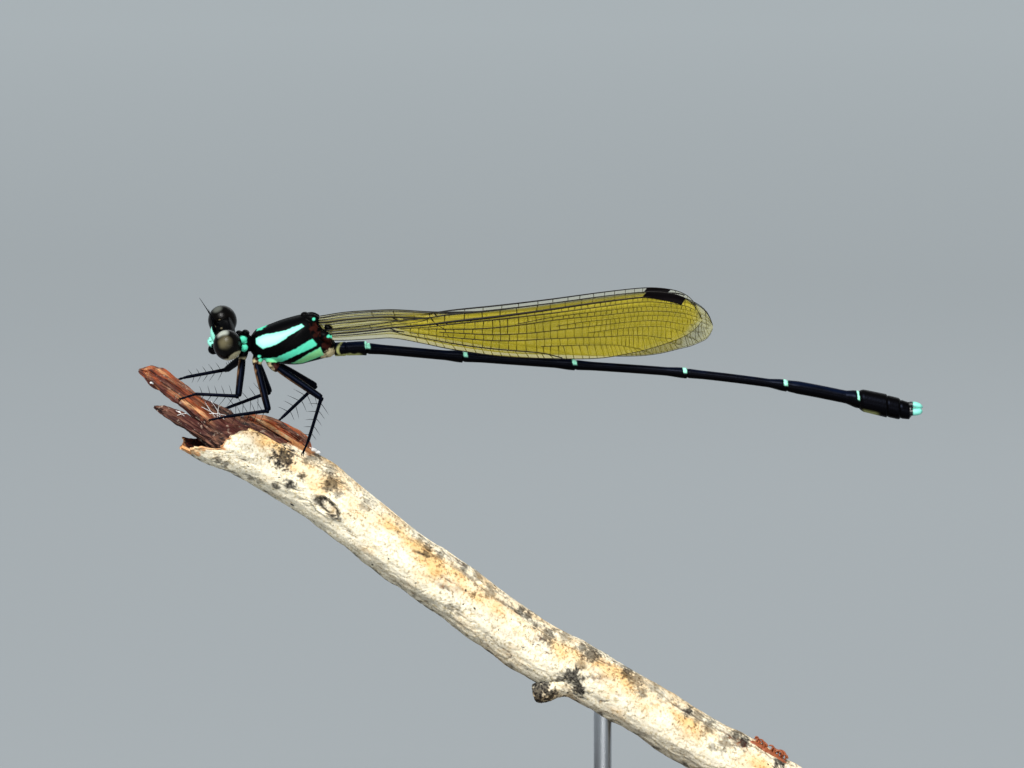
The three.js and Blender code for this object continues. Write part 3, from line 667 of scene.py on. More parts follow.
def face_mark_at(co):
    p = to_head @ co
    across = abs(p.y)
    bar = min(0.82 - across, 0.26 - abs(p.z - 0.08), p.x - 0.56)
    patch = min(0.42 - across, 0.17 - abs(p.z + 0.36)) if p.x > 0.5 else -1
    return ramp(-0.03, 0.03, max(bar, patch) + ragged(co, 0.12, 0.05))


def head_pale_at(co):
    p = to_head @ co
    rear = ramp(-0.02, 0.15, -p.x - 0.12) * ramp(-0.1, -0.3, p.z) * ramp(0.4, 0.8, abs(p.y))
    mouth = ramp(-0.66, -0.8, p.z + ragged(co, 0.2, 0.1)) * ramp(0.5, 0.36, p.x)
    beads = min((p - Vector(spot)).length for spot in (
        (0.14, 0.44, 0.57), (0.14, -0.44, 0.57), (0.45, 0.04, 0.5)))
    return max(rear, mouth, ramp(0.09, 0.03, beads) * 0.22)


marked(head, stripe=face_mark_at, bright=0.6, green=0.0, hinge=0.0, straw=head_pale_at)
mounted(head, striped, "chitin_striped", "head")


# Eyes
# Two glossy domes of thousands of facets, deep brown-black, with a grey-beige colour low behind. The
# near one has a painted olive reflection on its flank and a painted pale crescent of reflection over
# its top; the far one has a weak painted crescent.

EYE_RADII = (0.72, 0.74, 0.78)
# How far out from the middle of the head the middle of each eye is
EYE_OUT = 1.25
# Towards the low rear rim and the low front edge of an eye, both turned into the head's frame, and
# towards the painted crescent of reflection and the painted olive reflection of the near one
LOW_REAR = (to_head.to_3x3() @ Vector((0.54, -0.3, -0.79))).normalized()
LOW_EDGE = (to_head.to_3x3() @ Vector((0.16, -0.22, -0.96))).normalized()
UPPER_GLEAM = Vector((-0.33, -0.46, 0.824))
OLIVE_ZONE = Vector((-0.2, -0.94, 0.27))


def on_eye(co):
    """The direction from the eye's middle, mirrored to the left eye."""
    p = to_head @ co
    side = 1 if p.y > 0 else -1
    q = Vector((p.x / EYE_RADII[0], (p.y * side - EYE_OUT) / EYE_RADII[1], p.z / EYE_RADII[2]))
    return q.normalized()


def eye_pale_at(co):
    out = on_eye(co)
    rough = ragged(co, 0.3, 0.04)
    return max(ramp(0.8, 0.87, out.dot(LOW_REAR) + rough),
               ramp(0.88, 0.95, out.dot(LOW_EDGE) + rough))


def outward(co):
    """The direction from the middle of the eye that the point is on, and which eye it is."""
    side = 1 if (to_head @ co).y > 0 else -1
    return (co - head_frame @ Vector((0, side * EYE_OUT, 0))).normalized(), side


def eye_gleam_at(co):
    """A painted highlight: a pale crescent of reflection over the top, fading downwards, weaker on
    the far eye.
    """
    out, side = outward(co)
    if side < 0:
        return ramp(0.91, 1.0, out.dot(UPPER_GLEAM)) * 0.18
    lower = ramp(0.93, 0.78, out.dot(OLIVE_ZONE))
    return ramp(0.87, 1.0, out.dot(UPPER_GLEAM)) * lower * 0.75


# Painted reflection: a soft olive glow on the near eye's flank
def eye_olive_at(co):
    out, side = outward(co)
    return ramp(0.82, 1.04, out.dot(OLIVE_ZONE) + ragged(co, 0.3, 0.05)) * 0.38 * (side > 0)


# Faceted cuticle lenses over dark pigment: a mirror-like gloss broken up by the facets' edges; the
# pale crescent and olive glow in the colour are painted reflections
lens, tree, place = finish_named("faceted_eye_cuticle")
facets = put(tree, "ShaderNodeTexVoronoi", {"Vector": place, "Scale": 24000.0},
             feature="DISTANCE_TO_EDGE")
edge = between(tree, facets.outputs[0], high=0.12)
pale = mask(tree, "pale")
soft = clouds(tree, place, 1500.0, 1.0)
olive = mask(tree, "olive")
gleam = mask(tree, "gleam")
brown = blend(tree, soft, "#010101", "#080504")
# Painted reflections mixed into the eye's colour: the olive glow, then the pale crescent
brown = blend(tree, olive, brown, "#978e6c")
brown = blend(tree, gleam, brown, "#bdc3b8")
colour = blend(tree, pale, brown, "#b3ab8c")
dimple = relieved(tree, edge, 0.12, 0.00001)
shown(tree, {"Base Color": colour, "Roughness": 0.24, "Specular IOR Level": 0.1, "Normal": dimple})

for name, side in (("eye_left", 1), ("eye_right", -1)):
    dome = ball(name + "_dome", (0, side * EYE_OUT, 0), EYE_RADII, 64)
    marked(dome, pale=eye_pale_at, olive=eye_olive_at, gleam=eye_gleam_at)
    mounted(dome, lens, "eye_cuticle", name)


# Antennae
# Two thick joints and a long bristle each, standing on the brow between the eyes.

for name, side in (("antenna_left", 1), ("antenna_right", -1)):
    foot = head_frame @ (Vector((0.5, 0.3, 0.36)) if side > 0 else Vector((0.38, -0.42, 0.4)))
    lean = Vector((0.3, -0.1, 1)) if side < 0 else Vector((0.02, 0.02, 1))
    lean = (head_frame.to_3x3() @ lean).normalized()
    reach = [0, 0.22, 0.34, 0.5, 0.9, 1.35] if side > 0 else [0, 0.22, 0.34, 0.5, 1.05, 1.62]
    bend = head_frame.to_3x3() @ Vector((0.03, 0, 0))
    line = [foot + lean * d + bend * (d * d) for d in reach]
    feeler = swept(name + "_bristle", line, [0.09, 0.1, 0.07, 0.04, 0.02, 0.01],
                   sides=16, steps=90)
    marked(feeler, collar=0.0, belly=0.0, sheen=0.0)
    mounted(feeler, cuticle, "chitin_black", name)


# Legs
# Blue-black thighs and shins, each shin with two rows of long black bristles, a three-jointed foot
# and two hooked claws. The thighs are tan on the inside near the body.

LEGS = {
    "fore_leg_left": ((-14.42, -0.38, 25.05), (-14.6, -1.35, 23.26), (-16.72, -1.06, 23.34),
                      (-17.45, -1.0, 23.1)),
    "fore_leg_right": ((-14.48, 0.4, 24.98), (-15.25, 1.35, 24.32), (-17.25, 0.95, 23.98),
                       (-17.9, 0.86, 23.8)),
    "mid_leg_left": ((-13.72, -0.55, 24.8), (-13.1, -1.6, 22.56), (-15.15, -1.3, 22.24),
                     (-15.95, -1.36, 22.08)),
    "mid_leg_right": ((-13.72, 0.58, 24.8), (-13.12, 1.6, 23.15), (-15.2, 0.9, 22.44),
                      (-15.8, 0.86, 22.22)),
    "hind_leg_left": ((-12.65, -0.62, 24.6), (-10.45, -1.75, 23.22), (-11.12, -1.5, 21.02),
                      (-11.35, -1.5, 20.5)),
    "hind_leg_right": ((-12.6, 0.62, 24.6), (-10.8, 1.65, 23.46), (-12.4, 0.75, 22.02),
                       (-12.85, 0.62, 21.62)),
}
BRISTLE_LENGTH = 0.86
BRISTLE_SPACING = 0.33


def bristle(root, tip, sag):
    middle = (root + tip) / 2 + sag
    return swept("bristle", [root, middle, tip], [0.017, 0.013, 0.004], sides=5, steps=6)


def leg(name, hip, knee, ankle, toe):
    hip, knee, ankle, toe = (Vector(p) for p in lifted((hip, knee, ankle, toe)))
    down = (knee - hip).normalized()
    on = (ankle - knee).normalized()
    across = down.cross(on).normalized()
    over = across.cross(on).normalized()
    flexed = (on - down * on.dot(down)).normalized()
    pieces = [swept(part, [a + (b - a) * t for t in shares], radii, sides, 50)
              for part, a, b, shares, radii, sides in (
        ("thigh", hip, knee, (0, 0.1, 0.35, 0.7, 0.93, 1.0),
         (0.15, 0.18, 0.19, 0.175, 0.165, 0.13), 16),
        ("shin", knee, ankle, (-0.02, 0.04, 0.1, 0.5, 0.96, 1.01),
         (0.11, 0.13, 0.095, 0.085, 0.08, 0.06), 14),
        ("foot", ankle, toe, (-0.03, 0.2, 0.24, 0.5, 0.55, 0.92, 1.0),
         (0.06, 0.07, 0.05, 0.065, 0.045, 0.06, 0.04), 12))]
    toward = (toe - ankle).normalized()
    for claw_side in (-1, 1):
        spread = across * (0.09 * claw_side)
        claw = [toe - toward * 0.04, toe + toward * 0.1 + spread - Vector((0, 0, 0.01)),
                toe + toward * 0.17 + spread - Vector((0, 0, 0.11))]
        pieces.append(swept("claw", claw, [0.04, 0.03, 0.008], sides=8, steps=14))
    length = (ankle - knee).length
    count = int(length * 0.84 / BRISTLE_SPACING)
    for row in (-1, 1):
        for i in range(count):
            share = 0.1 + 0.88 * (i + 0.25 * (row > 0)) / count
            root = knee + on * (share * length)
            wobble = grit(i * 1.7, row * 3.1, hip.x)
            lean = over * row + on * (0.42 + 0.2 * wobble) + across * (0.35 * row + 0.2 * wobble)
            reach = BRISTLE_LENGTH * (1 - 0.35 * share) * (1 + 0.2 * wobble)
            tip = root + lean.normalized() * reach
            pieces.append(bristle(root, tip, on * -0.012))
    for i in range(6):
        root = hip + (knee - hip) * (0.25 + 0.12 * i)
        for row in (-1, 1):
            lean = (over * row + across * 0.5 + down * 0.5).normalized()
            pieces.append(bristle(root + lean * 0.1, root + lean * 0.4, down * 0.02))
    whole = welded(name + "_bristled", pieces)

    def tan_at(co):
        near = (co - hip).dot(down) / (knee - hip).length
        off = co - hip - down * (co - hip).dot(down)
        inner = ramp(0.07, 0.15, off.dot(flexed) + ragged(co, 0.2, 0.05))
        return ramp(0.9, 0.1, near) * inner * (off.length < 0.24)

    marked(whole, tan=0.0 if name == "fore_leg_right" else tan_at)
    return whole


# Hard slender cuticle, blue-black and shiny, browner where it is thin near the body
leg_black, tree, place = finish_named("leg_cuticle")
bloom = clouds(tree, place, 2500.0, 2.0)
black = blend(tree, bloom, "#010102", "#03050d")
tan = mask(tree, "tan")
colour = blend(tree, tan, black, "#8f6a4c")
fine = clouds(tree, place, 12000.0, 2.0)
rough = relieved(tree, fine, 0.2, 0.00002)
shown(tree, {"Base Color": colour, "Roughness": 0.42, "Specular IOR Level": 0.06,
             "Specular Tint": hue("#9fb8ff"), "Normal": rough})

for name, joints in LEGS.items():
    mounted(leg(name, *joints), leg_black, "leg_chitin", name + "_femur", name + "_tibia")


# Wings
# Four long narrow blades of clear amber film on a net of dark brown veins, folded together over
# the back with their front edges up. Each narrows to a stalk, and has a black cell near its tip.

# Stations: x, front edge, rear edge
FOREWING = {
    "stations": [(-10.9, 27.04, 26.72), (-10.42, 27.12, 26.52), (-9.3, 27.3, 26.54),
                 (-7.9, 27.4, 26.62), (-6.85, 27.43, 26.6), (-4.85, 27.32, 26.15),
                 (-3.2, 27.32, 25.86), (-1.55, 27.38, 25.58), (0.95, 27.58, 25.3),
                 (3.45, 27.92, 25.18), (5.3, 28.18, 25.17), (6.45, 28.26, 25.3),
                 (7.45, 28.09, 25.54), (7.95, 27.91, 25.66), (8.45, 27.64, 25.86),
                 (8.8, 27.32, 26.04), (9.08, 27.0, 26.24)],
    "round_from": 8.72, "tip": 9.08, "root": -10.9,
    "root_y": 0.42, "blade_y": 0.3, "spread_end": -8.2,
}
HINDWING = {
    "stations": [(-10.2, 26.5, 26.08), (-9.78, 26.58, 26.0), (-7.95, 26.82, 26.1),
                 (-6.85, 26.98, 26.14), (-5.3, 27.14, 25.86), (-4.05, 27.32, 25.6),
                 (-1.55, 27.58, 25.24), (0.95, 27.88, 25.12), (3.45, 28.22, 25.14),
                 (5.3, 28.43, 25.46), (6.15, 28.46, 25.68), (6.95, 28.38, 25.94),
                 (7.45, 28.25, 26.14), (7.88, 28.02, 26.37), (8.3, 27.56, 26.7),
                 (8.52, 27.2, 26.9)],
    "round_from": 8.22, "tip": 8.52, "root": -10.2,
    "root_y": 0.74, "blade_y": 1.06, "spread_end": -8.3,
}


def wing_point(shape, side, x, v, lift=0.0):
    """A point of the blade: x along it, v from the front edge (0) to the rear edge (1)."""
    lead, trail = smooth_between(shape["stations"], x)
    beyond = max(0, (x - shape["round_from"]) / (shape["tip"] - shape["round_from"]))
    shut = math.sqrt(max(0, 1 - beyond**2))
    middle = (lead + trail) / 2
    z = middle + (lead - trail) / 2 * shut * (1 - 2 * v)
    spread = ramp(shape["root"], shape["spread_end"], x)
    y = shape["root_y"] + (shape["blade_y"] - shape["root_y"]) * spread
    front_pleats = math.cos(min(v, 0.3) / 0.3 * math.pi * 3)
    y += (0.016 * front_pleats * ramp(0.34, 0.22, v) + 0.006 * math.cos(v * math.pi * 11)) * shut
    return Vector((x, side * (y + lift), z + LIFT))


# The net is drawn once, over a blade that runs from NET_ROOT to NET_TIP
NET_ROOT, NET_TIP = -10.9, 9.05
# Long veins: radius, then share of the breadth at stations along the wing
LONG_VEINS = [
    (0.032, [(-11, 0), (9.05, 0)]),
    (0.024, [(-11, 0.2), (-7, 0.19), (-5.4, 0.12), (-4.85, 0.0)]),
    (0.05, [(-11, 0.44), (-7, 0.37), (-4.85, 0.25), (-3.2, 0.19), (-1.5, 0.15), (1, 0.115),
            (3, 0.095), (5.4, 0.09), (7.2, 0.08), (8.2, 0.03)]),
    (0.024, [(-6.4, 0.43), (-4.85, 0.34), (-3.2, 0.26), (-1.5, 0.21), (3, 0.17), (6, 0.17),
             (8, 0.21), (8.98, 0.15)]),
    (0.018, [(-0.4, 0.33), (1.2, 0.26), (3, 0.24), (6, 0.25), (8, 0.31), (8.98, 0.3)]),
    (0.022, [(-5.2, 0.42), (-3, 0.42), (-0.5, 0.36), (1.5, 0.31), (3, 0.305), (6, 0.33),
             (8, 0.4), (8.95, 0.46)]),
    (0.017, [(1.6, 0.42), (3, 0.385), (5, 0.39), (6.5, 0.42), (8, 0.5), (8.85, 0.62)]),
    (0.02, [(-4.4, 0.52), (-2, 0.54), (0, 0.525), (3, 0.47), (5.5, 0.48), (7.2, 0.56),
            (8.6, 0.76)]),
    (0.017, [(3.2, 0.57), (4.6, 0.56), (6.2, 0.6), (7.4, 0.7), (8.25, 0.9)]),
    (0.02, [(-5.9, 0.62), (-4, 0.66), (-1, 0.67), (1.5, 0.64), (4, 0.66), (6, 0.74), (7.5, 0.93)]),
    (0.017, [(0.8, 0.78), (3, 0.77), (4.6, 0.82), (5.9, 0.96)]),
    (0.026, [(-6.9, 0.56), (-6.3, 0.72), (-5.4, 0.78), (-3.2, 0.84), (-1.0, 0.86), (0.8, 0.9),
             (1.9, 0.985)]),
    (0.03, [(-11, 0.66), (-9, 0.6), (-6.9, 0.56), (-6.2, 0.6)]),
    (0.022, [(-11, 1), (9.05, 1)]),
]
# Oblique bars: the arculus and the nodus, as x and share of the breadth at both ends
OBLIQUES = [(0.034, (-7.0, 0.36), (-6.5, 0.62)), (0.03, (-4.85, 0.0), (-4.6, 0.25)),
            (0.026, (-4.6, 0.25), (-4.15, 0.42)), (0.018, (-4.15, 0.42), (-3.9, 0.66)),
            (0.016, (-8.0, 0.0), (-7.85, 0.4)), (0.016, (-6.9, 0.0), (-6.8, 0.36))]


def bar_mesh(points, radii, sides, corners, faces):
    """Adds a thin bar through points to a growing list of corners and faces."""
    first = len(corners)
    for i, (p, r) in enumerate(zip(points, radii)):
        ahead = points[min(i + 1, len(points) - 1)]
        behind = points[max(i - 1, 0)]
        along = (ahead - behind).normalized()
        side = Vector((0, 1, 0)) - along * along.y
        side.normalize()
        up = along.cross(side)
        for s in range(sides):
            turn = 2 * math.pi * s / sides
            corners.append(p + side * (r * math.cos(turn)) + up * (r * math.sin(turn)))
    for i in range(len(points) - 1):
        for s in range(sides):
            a = first + i * sides + s
            b = first + i * sides + (s + 1) % sides
            faces.append((a, a + sides, b + sides, b))
    faces.append(tuple(first + s for s in range(sides)))
    end = first + (len(points) - 1) * sides
    faces.append(tuple(end + s for s in reversed(range(sides))))


def vein_share(table, x):
    if x < table[0][0] - 1e-6 or x > table[-1][0] + 1e-6:
        return None
    return smooth_between(table, x)[0] if len(table) > 2 else (
        table[0][1] + (table[1][1] - table[0][1]) * (x - table[0][0]) / (table[1][0] - table[0][0]))


def vein_net(shape, side, seed):
    """The long veins, and the cross veins between neighbours, as bars."""
    corners, faces = [], []
    scale = (shape["tip"] - NET_ROOT) / (NET_TIP - NET_ROOT)

    def at(x, v):
        real = max(shape["tip"] - (NET_TIP - x) * scale, shape["root"])
        return wing_point(shape, side, min(real, shape["tip"] - 0.01), v)

    for width, table in LONG_VEINS:
        start, stop = max(table[0][0], NET_ROOT), min(table[-1][0], NET_TIP)
        count = max(8, int((stop - start) / 0.14))
        line, radii = [], []
        for i in range(count + 1):
            x = start + (stop - start) * i / count
            point = at(x, vein_share(table, x))
            if line and (point - line[-1]).length < 1e-3:
                continue
            line.append(point)
            radii.append(width * (0.9 + 0.38 * ramp(-5.5, -3, x) - 0.5 * ramp(-2, 7, x)
                                  - 0.25 * ramp(7, 9, x)))
        bar_mesh(line, radii, 6, corners, faces)
    for width, (xa, va), (xb, vb) in OBLIQUES:
        a, b = at(xa, va), at(xb, vb)
        bar_mesh([a, (a + b) / 2, b], [width, width * 0.85, width], 6, corners, faces)
    # Cross veins run on from cell to cell in nearly straight rows
    first_row = -5.9
    x, row = first_row, 0
    while x < 8.95:
        shares = [vein_share(table, x) for width, table in LONG_VEINS]
        shares = sorted(s for s in shares if s is not None)
        for k, (upper, lower) in enumerate(zip(shares, shares[1:])):
            jump = grit(x * 0.9, k * 2.3, seed)
            shift = 0.22 * jump + (0.12 * (k % 2) if x > 1.5 else 0.0)
            lean = 0.05 * grit(x * 3, k * 5.1, seed)
            if k == 0 and x < -4.6 or lower - upper < 0.015 or k == 0 and row % 2:
                continue
            if k == len(shares) - 2:
                lean += 0.09
            if not first_row < x + shift < 8.9:
                continue
            a = at(x + shift - lean, upper)
            b = at(x + shift + lean, lower)
            if (a - b).length > 0.03:
                r = 0.023 - 0.009 * ramp(0, 7, x)
                bar_mesh([a, (a + b) / 2, b], [r, 0.85 * r, r], 4, corners, faces)
        x += 0.46 - 0.2 * ramp(-1.0, 5.0, x) + 0.05 * grit(row * 1.7, seed, 3)
        row += 1
    mesh = bpy.data.meshes.new("veins")
    mesh.from_pydata(corners, [], faces)
    made = bpy.data.objects.new("veins", mesh)
    bpy.context.scene.collection.objects.link(made)
    return made


def film(shape, side):
    """The blade itself: a sheet 0.02 mm thick that follows the pleats of the veins."""
    def place(u, v):
        run = shape["tip"] - 0.004 - shape["root"]
        x = shape["root"] + run * math.sin(u * math.pi / 2) ** 0.9
        return wing_point(shape, side, x, v)

    sheet = rolled("film", 170, 70, place, closed=False)
    applied(sheet, "SOLIDIFY", thickness=0.02, offset=0)
    return sheet


def stigma(shape, side, a, b):
    """The thick black cell on the front edge near the tip, from a to b along the wing."""
    near_hind = shape is HINDWING and side < 0

    def place(u, v):
        x = a + (b - a) * u + 0.1 * (1 - 2 * v)
        bulge = math.sin(math.pi * u) * math.sin(math.pi * v)
        depth = 0.085 + 0.12 * u if near_hind else 0.11 if side < 0 else 0.085
        return wing_point(shape, side, x, 0.004 + depth * v, 0.02 * bulge)

    cell = rolled("stigma", 30, 10, place, closed=False)
    applied(cell, "SOLIDIFY", thickness=0.06, offset=0)
    return cell


def amber_at(shape, side):
    def value(co):
        lead, trail = smooth_between(shape["stations"], co.x)
        v = (lead + LIFT - co.z) / max(lead - trail, 0.1)
        bend = 0.7 * ramp(0.55, 1, v)
        low, high = (-0.5, 0.2) if shape is HINDWING else (-1.5, -0.5)
        rim = ramp(shape["tip"] + low, shape["tip"] + high, co.x + bend)
        clear = 0.08 if shape is HINDWING and side > 0 else 0.01
        front = ramp(clear, clear + 0.04, v)
        return (0.3 + 0.7 * ramp(-8.4, -5.4, co.x)) * max(front, ramp(-5, -6.5, co.x)) * (
            1 - 0.65 * rim)
    return value


# Clear chitin film stained amber by the insect itself: thin, glossy, paler on the stalk, along
# the front edge and at the tip
amber, tree, place = finish_named("amber_wing_film")
stain = mask(tree, "amber")
cloud = clouds(tree, place, 900.0, 2.0)
warm = blend(tree, cloud, "#c4b22a", "#9a9026")
colour = blend(tree, stain, "#aeac72", warm)
thick = between(tree, stain, first=0.13, last=0.32)
ripple = clouds(tree, place, 2200.0)
wave = relieved(tree, ripple, 0.3, 0.00005)
shown(tree, {"Base Color": colour, "Roughness": 0.5, "Specular IOR Level": 0.12, "Alpha": thick,
             "Normal": wave})

# Veins: the same chitin, thick and tanned dark brown, nearly black along the front
vein_brown, tree, place = finish_named("vein_chitin")
patch = clouds(tree, place, 1200.0)
colour = blend(tree, patch, "#030202", "#140d05")
shown(tree, {"Base Color": colour, "Roughness": 0.55, "Specular IOR Level": 0.15})

# The black cell: blood-filled and opaque, with a dull gloss
cell_black, tree, place = finish_named("stigma_chitin")
patch = clouds(tree, place, 4000.0)
colour = blend(tree, patch, "#030203", "#0a0608")
shown(tree, {"Base Color": colour, "Roughness": 0.55, "Specular IOR Level": 0.04})

for name, shape, side, seed, cell_span in (
        ("forewing_left", FOREWING, -1, 1.0, (5.6, 6.75)),
        ("forewing_right", FOREWING, 1, 7.0, (5.6, 6.7)),
        ("hindwing_left", HINDWING, -1, 13.0, (5.65, 7.6)),
        ("hindwing_right", HINDWING, 1, 19.0, (5.7, 6.9))):
    sheet = film(shape, side)
    marked(sheet, amber=amber_at(shape, side))
    mounted(sheet, amber, "wing_membrane", name)
    net = vein_net(shape, side, seed)
    net.name = name + "_veins"
    mounted(net, vein_brown, "wing_membrane")
    cell = stigma(shape, side, *cell_span)
    cell.name = name + "_stigma"
    mounted(cell, cell_black, "wing_membrane")


# Twig bark
# A bent length of dead branch with pale weathered bark, spotted with black lichen. Its upper end is
# snapped and the bark torn open; its lower end is sawn off square to stand on the rods.

# Stations: x, z, radius
TWIG = [(-17.3, 21.7, 1.2), (-15.9, 21.15, 1.46), (-14.5, 20.7, 1.56), (-12.3, 19.4, 1.5),
        (-10.7, 18.45, 1.52), (-8.8, 16.93, 1.46), (-6.4, 15.07, 1.43), (-3.9, 13.35, 1.46),
        (-1.95, 11.9, 1.45), (0.35, 10.3, 1.44), (2.75, 9.05, 1.42), (4.75, 7.95, 1.38),
        (7.5, 6.2, 1.36), (10.3, 4.7, 1.36), (13.4, 2.85, 1.36)]
# The torn edge seen from the near side, and from the far side: x, z
NEAR_TEAR = [(-17.1, 21.15), (-17.0, 20.8), (-16.85, 20.5), (-16.6, 20.4), (-16.3, 20.62),
             (-15.8, 20.58), (-15.35, 20.72), (-15.05, 21.3), (-14.5, 21.55), (-13.95, 21.5),
             (-13.5, 21.15), (-13.1, 20.8), (-12.4, 20.85), (-11.7, 20.4), (-11.2, 20.45),
             (-10.6, 20.9)]
FAR_TEAR = [(-17.3, 20.9), (-16.6, 20.8), (-15.4, 21.3), (-14.6, 22.1), (-13.6, 22.0),
            (-12.6, 21.85), (-12.0, 21.4), (-11.4, 20.9), (-10.8, 21.2)]
# Where along x the tear is looked for, from the whole bark to the tip
TEAR_FROM, TEAR_END = -10.7, -17.02
# Where the bark is sawn off, where the scar of the fallen shoot is, and its half length and breadth
SAWN = 13.36
SCAR, SCAR_SIZE = -10.05, (0.62, 0.36)


def twig_frame(x):
    """The twig's middle at x, the directions along and up from it, and its radius."""
    z, r = smooth_between(TWIG, x)
    ahead = smooth_between(TWIG, x + 0.05)[0]
    along = Vector((0.05, 0, ahead - z)).normalized()
    return Vector((x, 0, z)), along, Vector((-along.z, 0, along.x)), r


# The long crack below the twig's top on the near side: x, height above the twig's middle line
SEAM = [(-6.2, 0.62), (-5.5, 0.74), (-4.7, 1.02), (-4.1, 1.04), (-3.3, 1.08), (-2.6, 1.0),
        (-1.8, 1.04), (-0.9, 1.1), (0.2, 1.14), (1.8, 1.2), (3.2, 1.18), (5.2, 1.16),
        (6.2, 1.2), (7.2, 1.16), (8.5, 1.14), (9.6, 1.18), (10.8, 1.2), (13.4, 1.16)]


def near_seam(x, around):
    """Distance from the crack, and the same with its sign, measured round the twig."""
    height = smooth_between(SEAM, x)[0] + 0.07 * grit(x * 2.3, 4.5, 1.5)
    height += 0.04 * grit(x * 6.5, 1.5, 3.5)
    radius = 1.42
    rise = min(max(math.sin(around), -1), 1)
    off = radius * (math.asin(rise) - math.asin(min(height / radius, 1)))
    return abs(off), off


def scar_ring(x, around):
    """How far out from the middle of the scar a point is, 1 at its rim."""
    du = (x - SCAR) / SCAR_SIZE[0]
    dv = (around % (2 * math.pi) - math.radians(190)) * 1.5 / SCAR_SIZE[1]
    return math.hypot(du, dv) + 0.12 * grit(du * 2, dv * 2, 1)


def bark_height(x, around):
    """Lumps, long wrinkles, a knot scar and fine cracks, in millimetres."""
    c, s = math.cos(around), math.sin(around)
    spot = Vector((x * 0.55, c * 1.5, s * 1.5))
    height = 0.10 * noise.noise(spot) + 0.05 * noise.noise(spot * 2.7)
    along_grain = Vector((x * 0.8, c * 5.5, s * 5.5))
    height += 0.03 * noise.noise(along_grain) + 0.014 * noise.noise(along_grain * 2.4)
    crack = abs(noise.noise(Vector((x * 1.2, c * 3.1, s * 3.1)) + Vector((7, 3, 1))))
    height -= 0.05 * max(0, 1 - crack / 0.06)
    height += 0.016 * grit(x * 5, c * 9, s * 9)
    # A raised seam along the grain, with a groove beside it
    if -6.2 < x < 13.4 and c < 0:
        seam, side_of = near_seam(x, around)
        here = ramp(-6.1, -5.4, x) * (0.7 + 0.5 * grit(x * 1.3, 2, 8.5))
        height += here * 0.05 * math.exp(-((side_of - 0.1) / 0.09) ** 2)
        height -= here * 0.09 * math.exp(-(seam / 0.05) ** 2)
    # Oval scar of a fallen shoot, low on the near side
    ring = scar_ring(x, math.atan2(s, c))
    rim, groove = (math.exp(-((ring - at) / 0.2) ** 2) for at in (1.15, 0.72))
    return height + (0.09 * rim - 0.13 * groove)


def on_twig(x, around, depth):
    centre, along, up, r = twig_frame(x)
    out = Vector((0, math.cos(around), 0)) + up * math.sin(around)
    return centre + out * (r + depth)


def tear_start(around):
    """Where along x the bark begins at this angle round the twig."""
    near = max(0.0, -math.cos(around))
    start, x = TEAR_END, TEAR_FROM
    while x > TEAR_END - 0.18:
        edge = smooth_between(NEAR_TEAR if math.cos(around) < 0 else FAR_TEAR, x)[0]
        if on_twig(x, around, 0).z > edge:
            start = x
            break
        x -= 0.02
    rough = 0.16 * grit(around * 6, near, 2.0)
    return start + rough + 0.09 * grit(around * 17, near, 7.0)


SIDES = 150
starts = [tear_start(2 * math.pi * k / SIDES) for k in range(SIDES)]


def bark_point(u, v):
    k = round(v * SIDES) % SIDES
    around = 2 * math.pi * k / SIDES
    start = starts[k]
    ragged_wall = 0.03 * grit(around * 9, start, 5)
    # From the inside of the tear, over its rim and along the twig, to the middle of the sawn end
    if u < 0.05:
        # Inner wall, hidden under the wood at its deep end
        t = u / 0.05
        x = start + 2.6 * (1 - t)
        depth = -0.2 - 0.12 * (1 - t) + ragged_wall * (1 - t) if u else -0.7
    elif u < 0.075:
        # The torn rim, rolled outwards a little
        t = (u - 0.05) / 0.025
        x = start - 0.04 * math.sin(math.pi * t)
        depth = -0.2 + (0.2 + bark_height(start, around)) * t
    elif u < 0.985:
        t = (u - 0.075) / 0.91
        t = t * (0.35 + 0.65 * t) if t < 1 else 1
        x = start + (SAWN - start) * t
        depth = bark_height(x, around) - 0.05 * math.exp(-(x - start) / 0.3)
    else:
        # The sawn end
        t = (u - 0.985) / 0.015
        x = SAWN + 0.04 * min(1, t * 4)
        depth = -twig_frame(x)[3] * t + bark_height(SAWN, around) * (1 - t)
    return on_twig(x, around, depth) + Vector((0, 0, LIFT))


bark = rolled("twig_bark", 620, SIDES, bark_point)


def about_twig(co):
    """How high over the twig's middle line a point is, how far round it, and the radius there."""
    centre, along, up, r = twig_frame(co.x)
    flat = co - Vector((0, 0, LIFT)) - centre
    return flat.dot(up), math.atan2(flat.dot(up), flat.y), r


def rim_at(co):
    """The raw orange and cream edge of the torn bark."""
    high, around, r = about_twig(co)
    past = co.x - starts[round(around % (2 * math.pi) / (2 * math.pi) * SIDES) % SIDES]
    width = 0.11 + 0.6 * ramp(-0.1, 0.3, co.y) * ramp(-0.2, 0.3, high)
    # The far wall behind the hollow is bare of bark nearly down to the hind foot
    crown = ramp(0.55, 0.75, high / r) * ramp(-0.75, -0.5, co.y + ragged(co, 0.3, 0.15))
    crown *= ramp(-10.6, -11.1, co.x + ragged(co, 0.4, 0.3))
    return max(crown, ramp(width, 0.0, past + ragged(co, 0.3, 0.22)))


def inside_at(co):
    """The dark inside of the hollow, and half as dark the bare wood of its far wall."""
    high, around, r = about_twig(co)
    if co.x > 12.8 or co.y < -0.5 and abs(co.x - SCAR) < 0.9:
        return 0.0
    hollow = ramp(r - 0.04, r - 0.13, math.hypot(high, co.y))
    return max(hollow, 0.5 * rim_at(co) * ramp(-0.8, -0.5, co.y) * (high > 0))


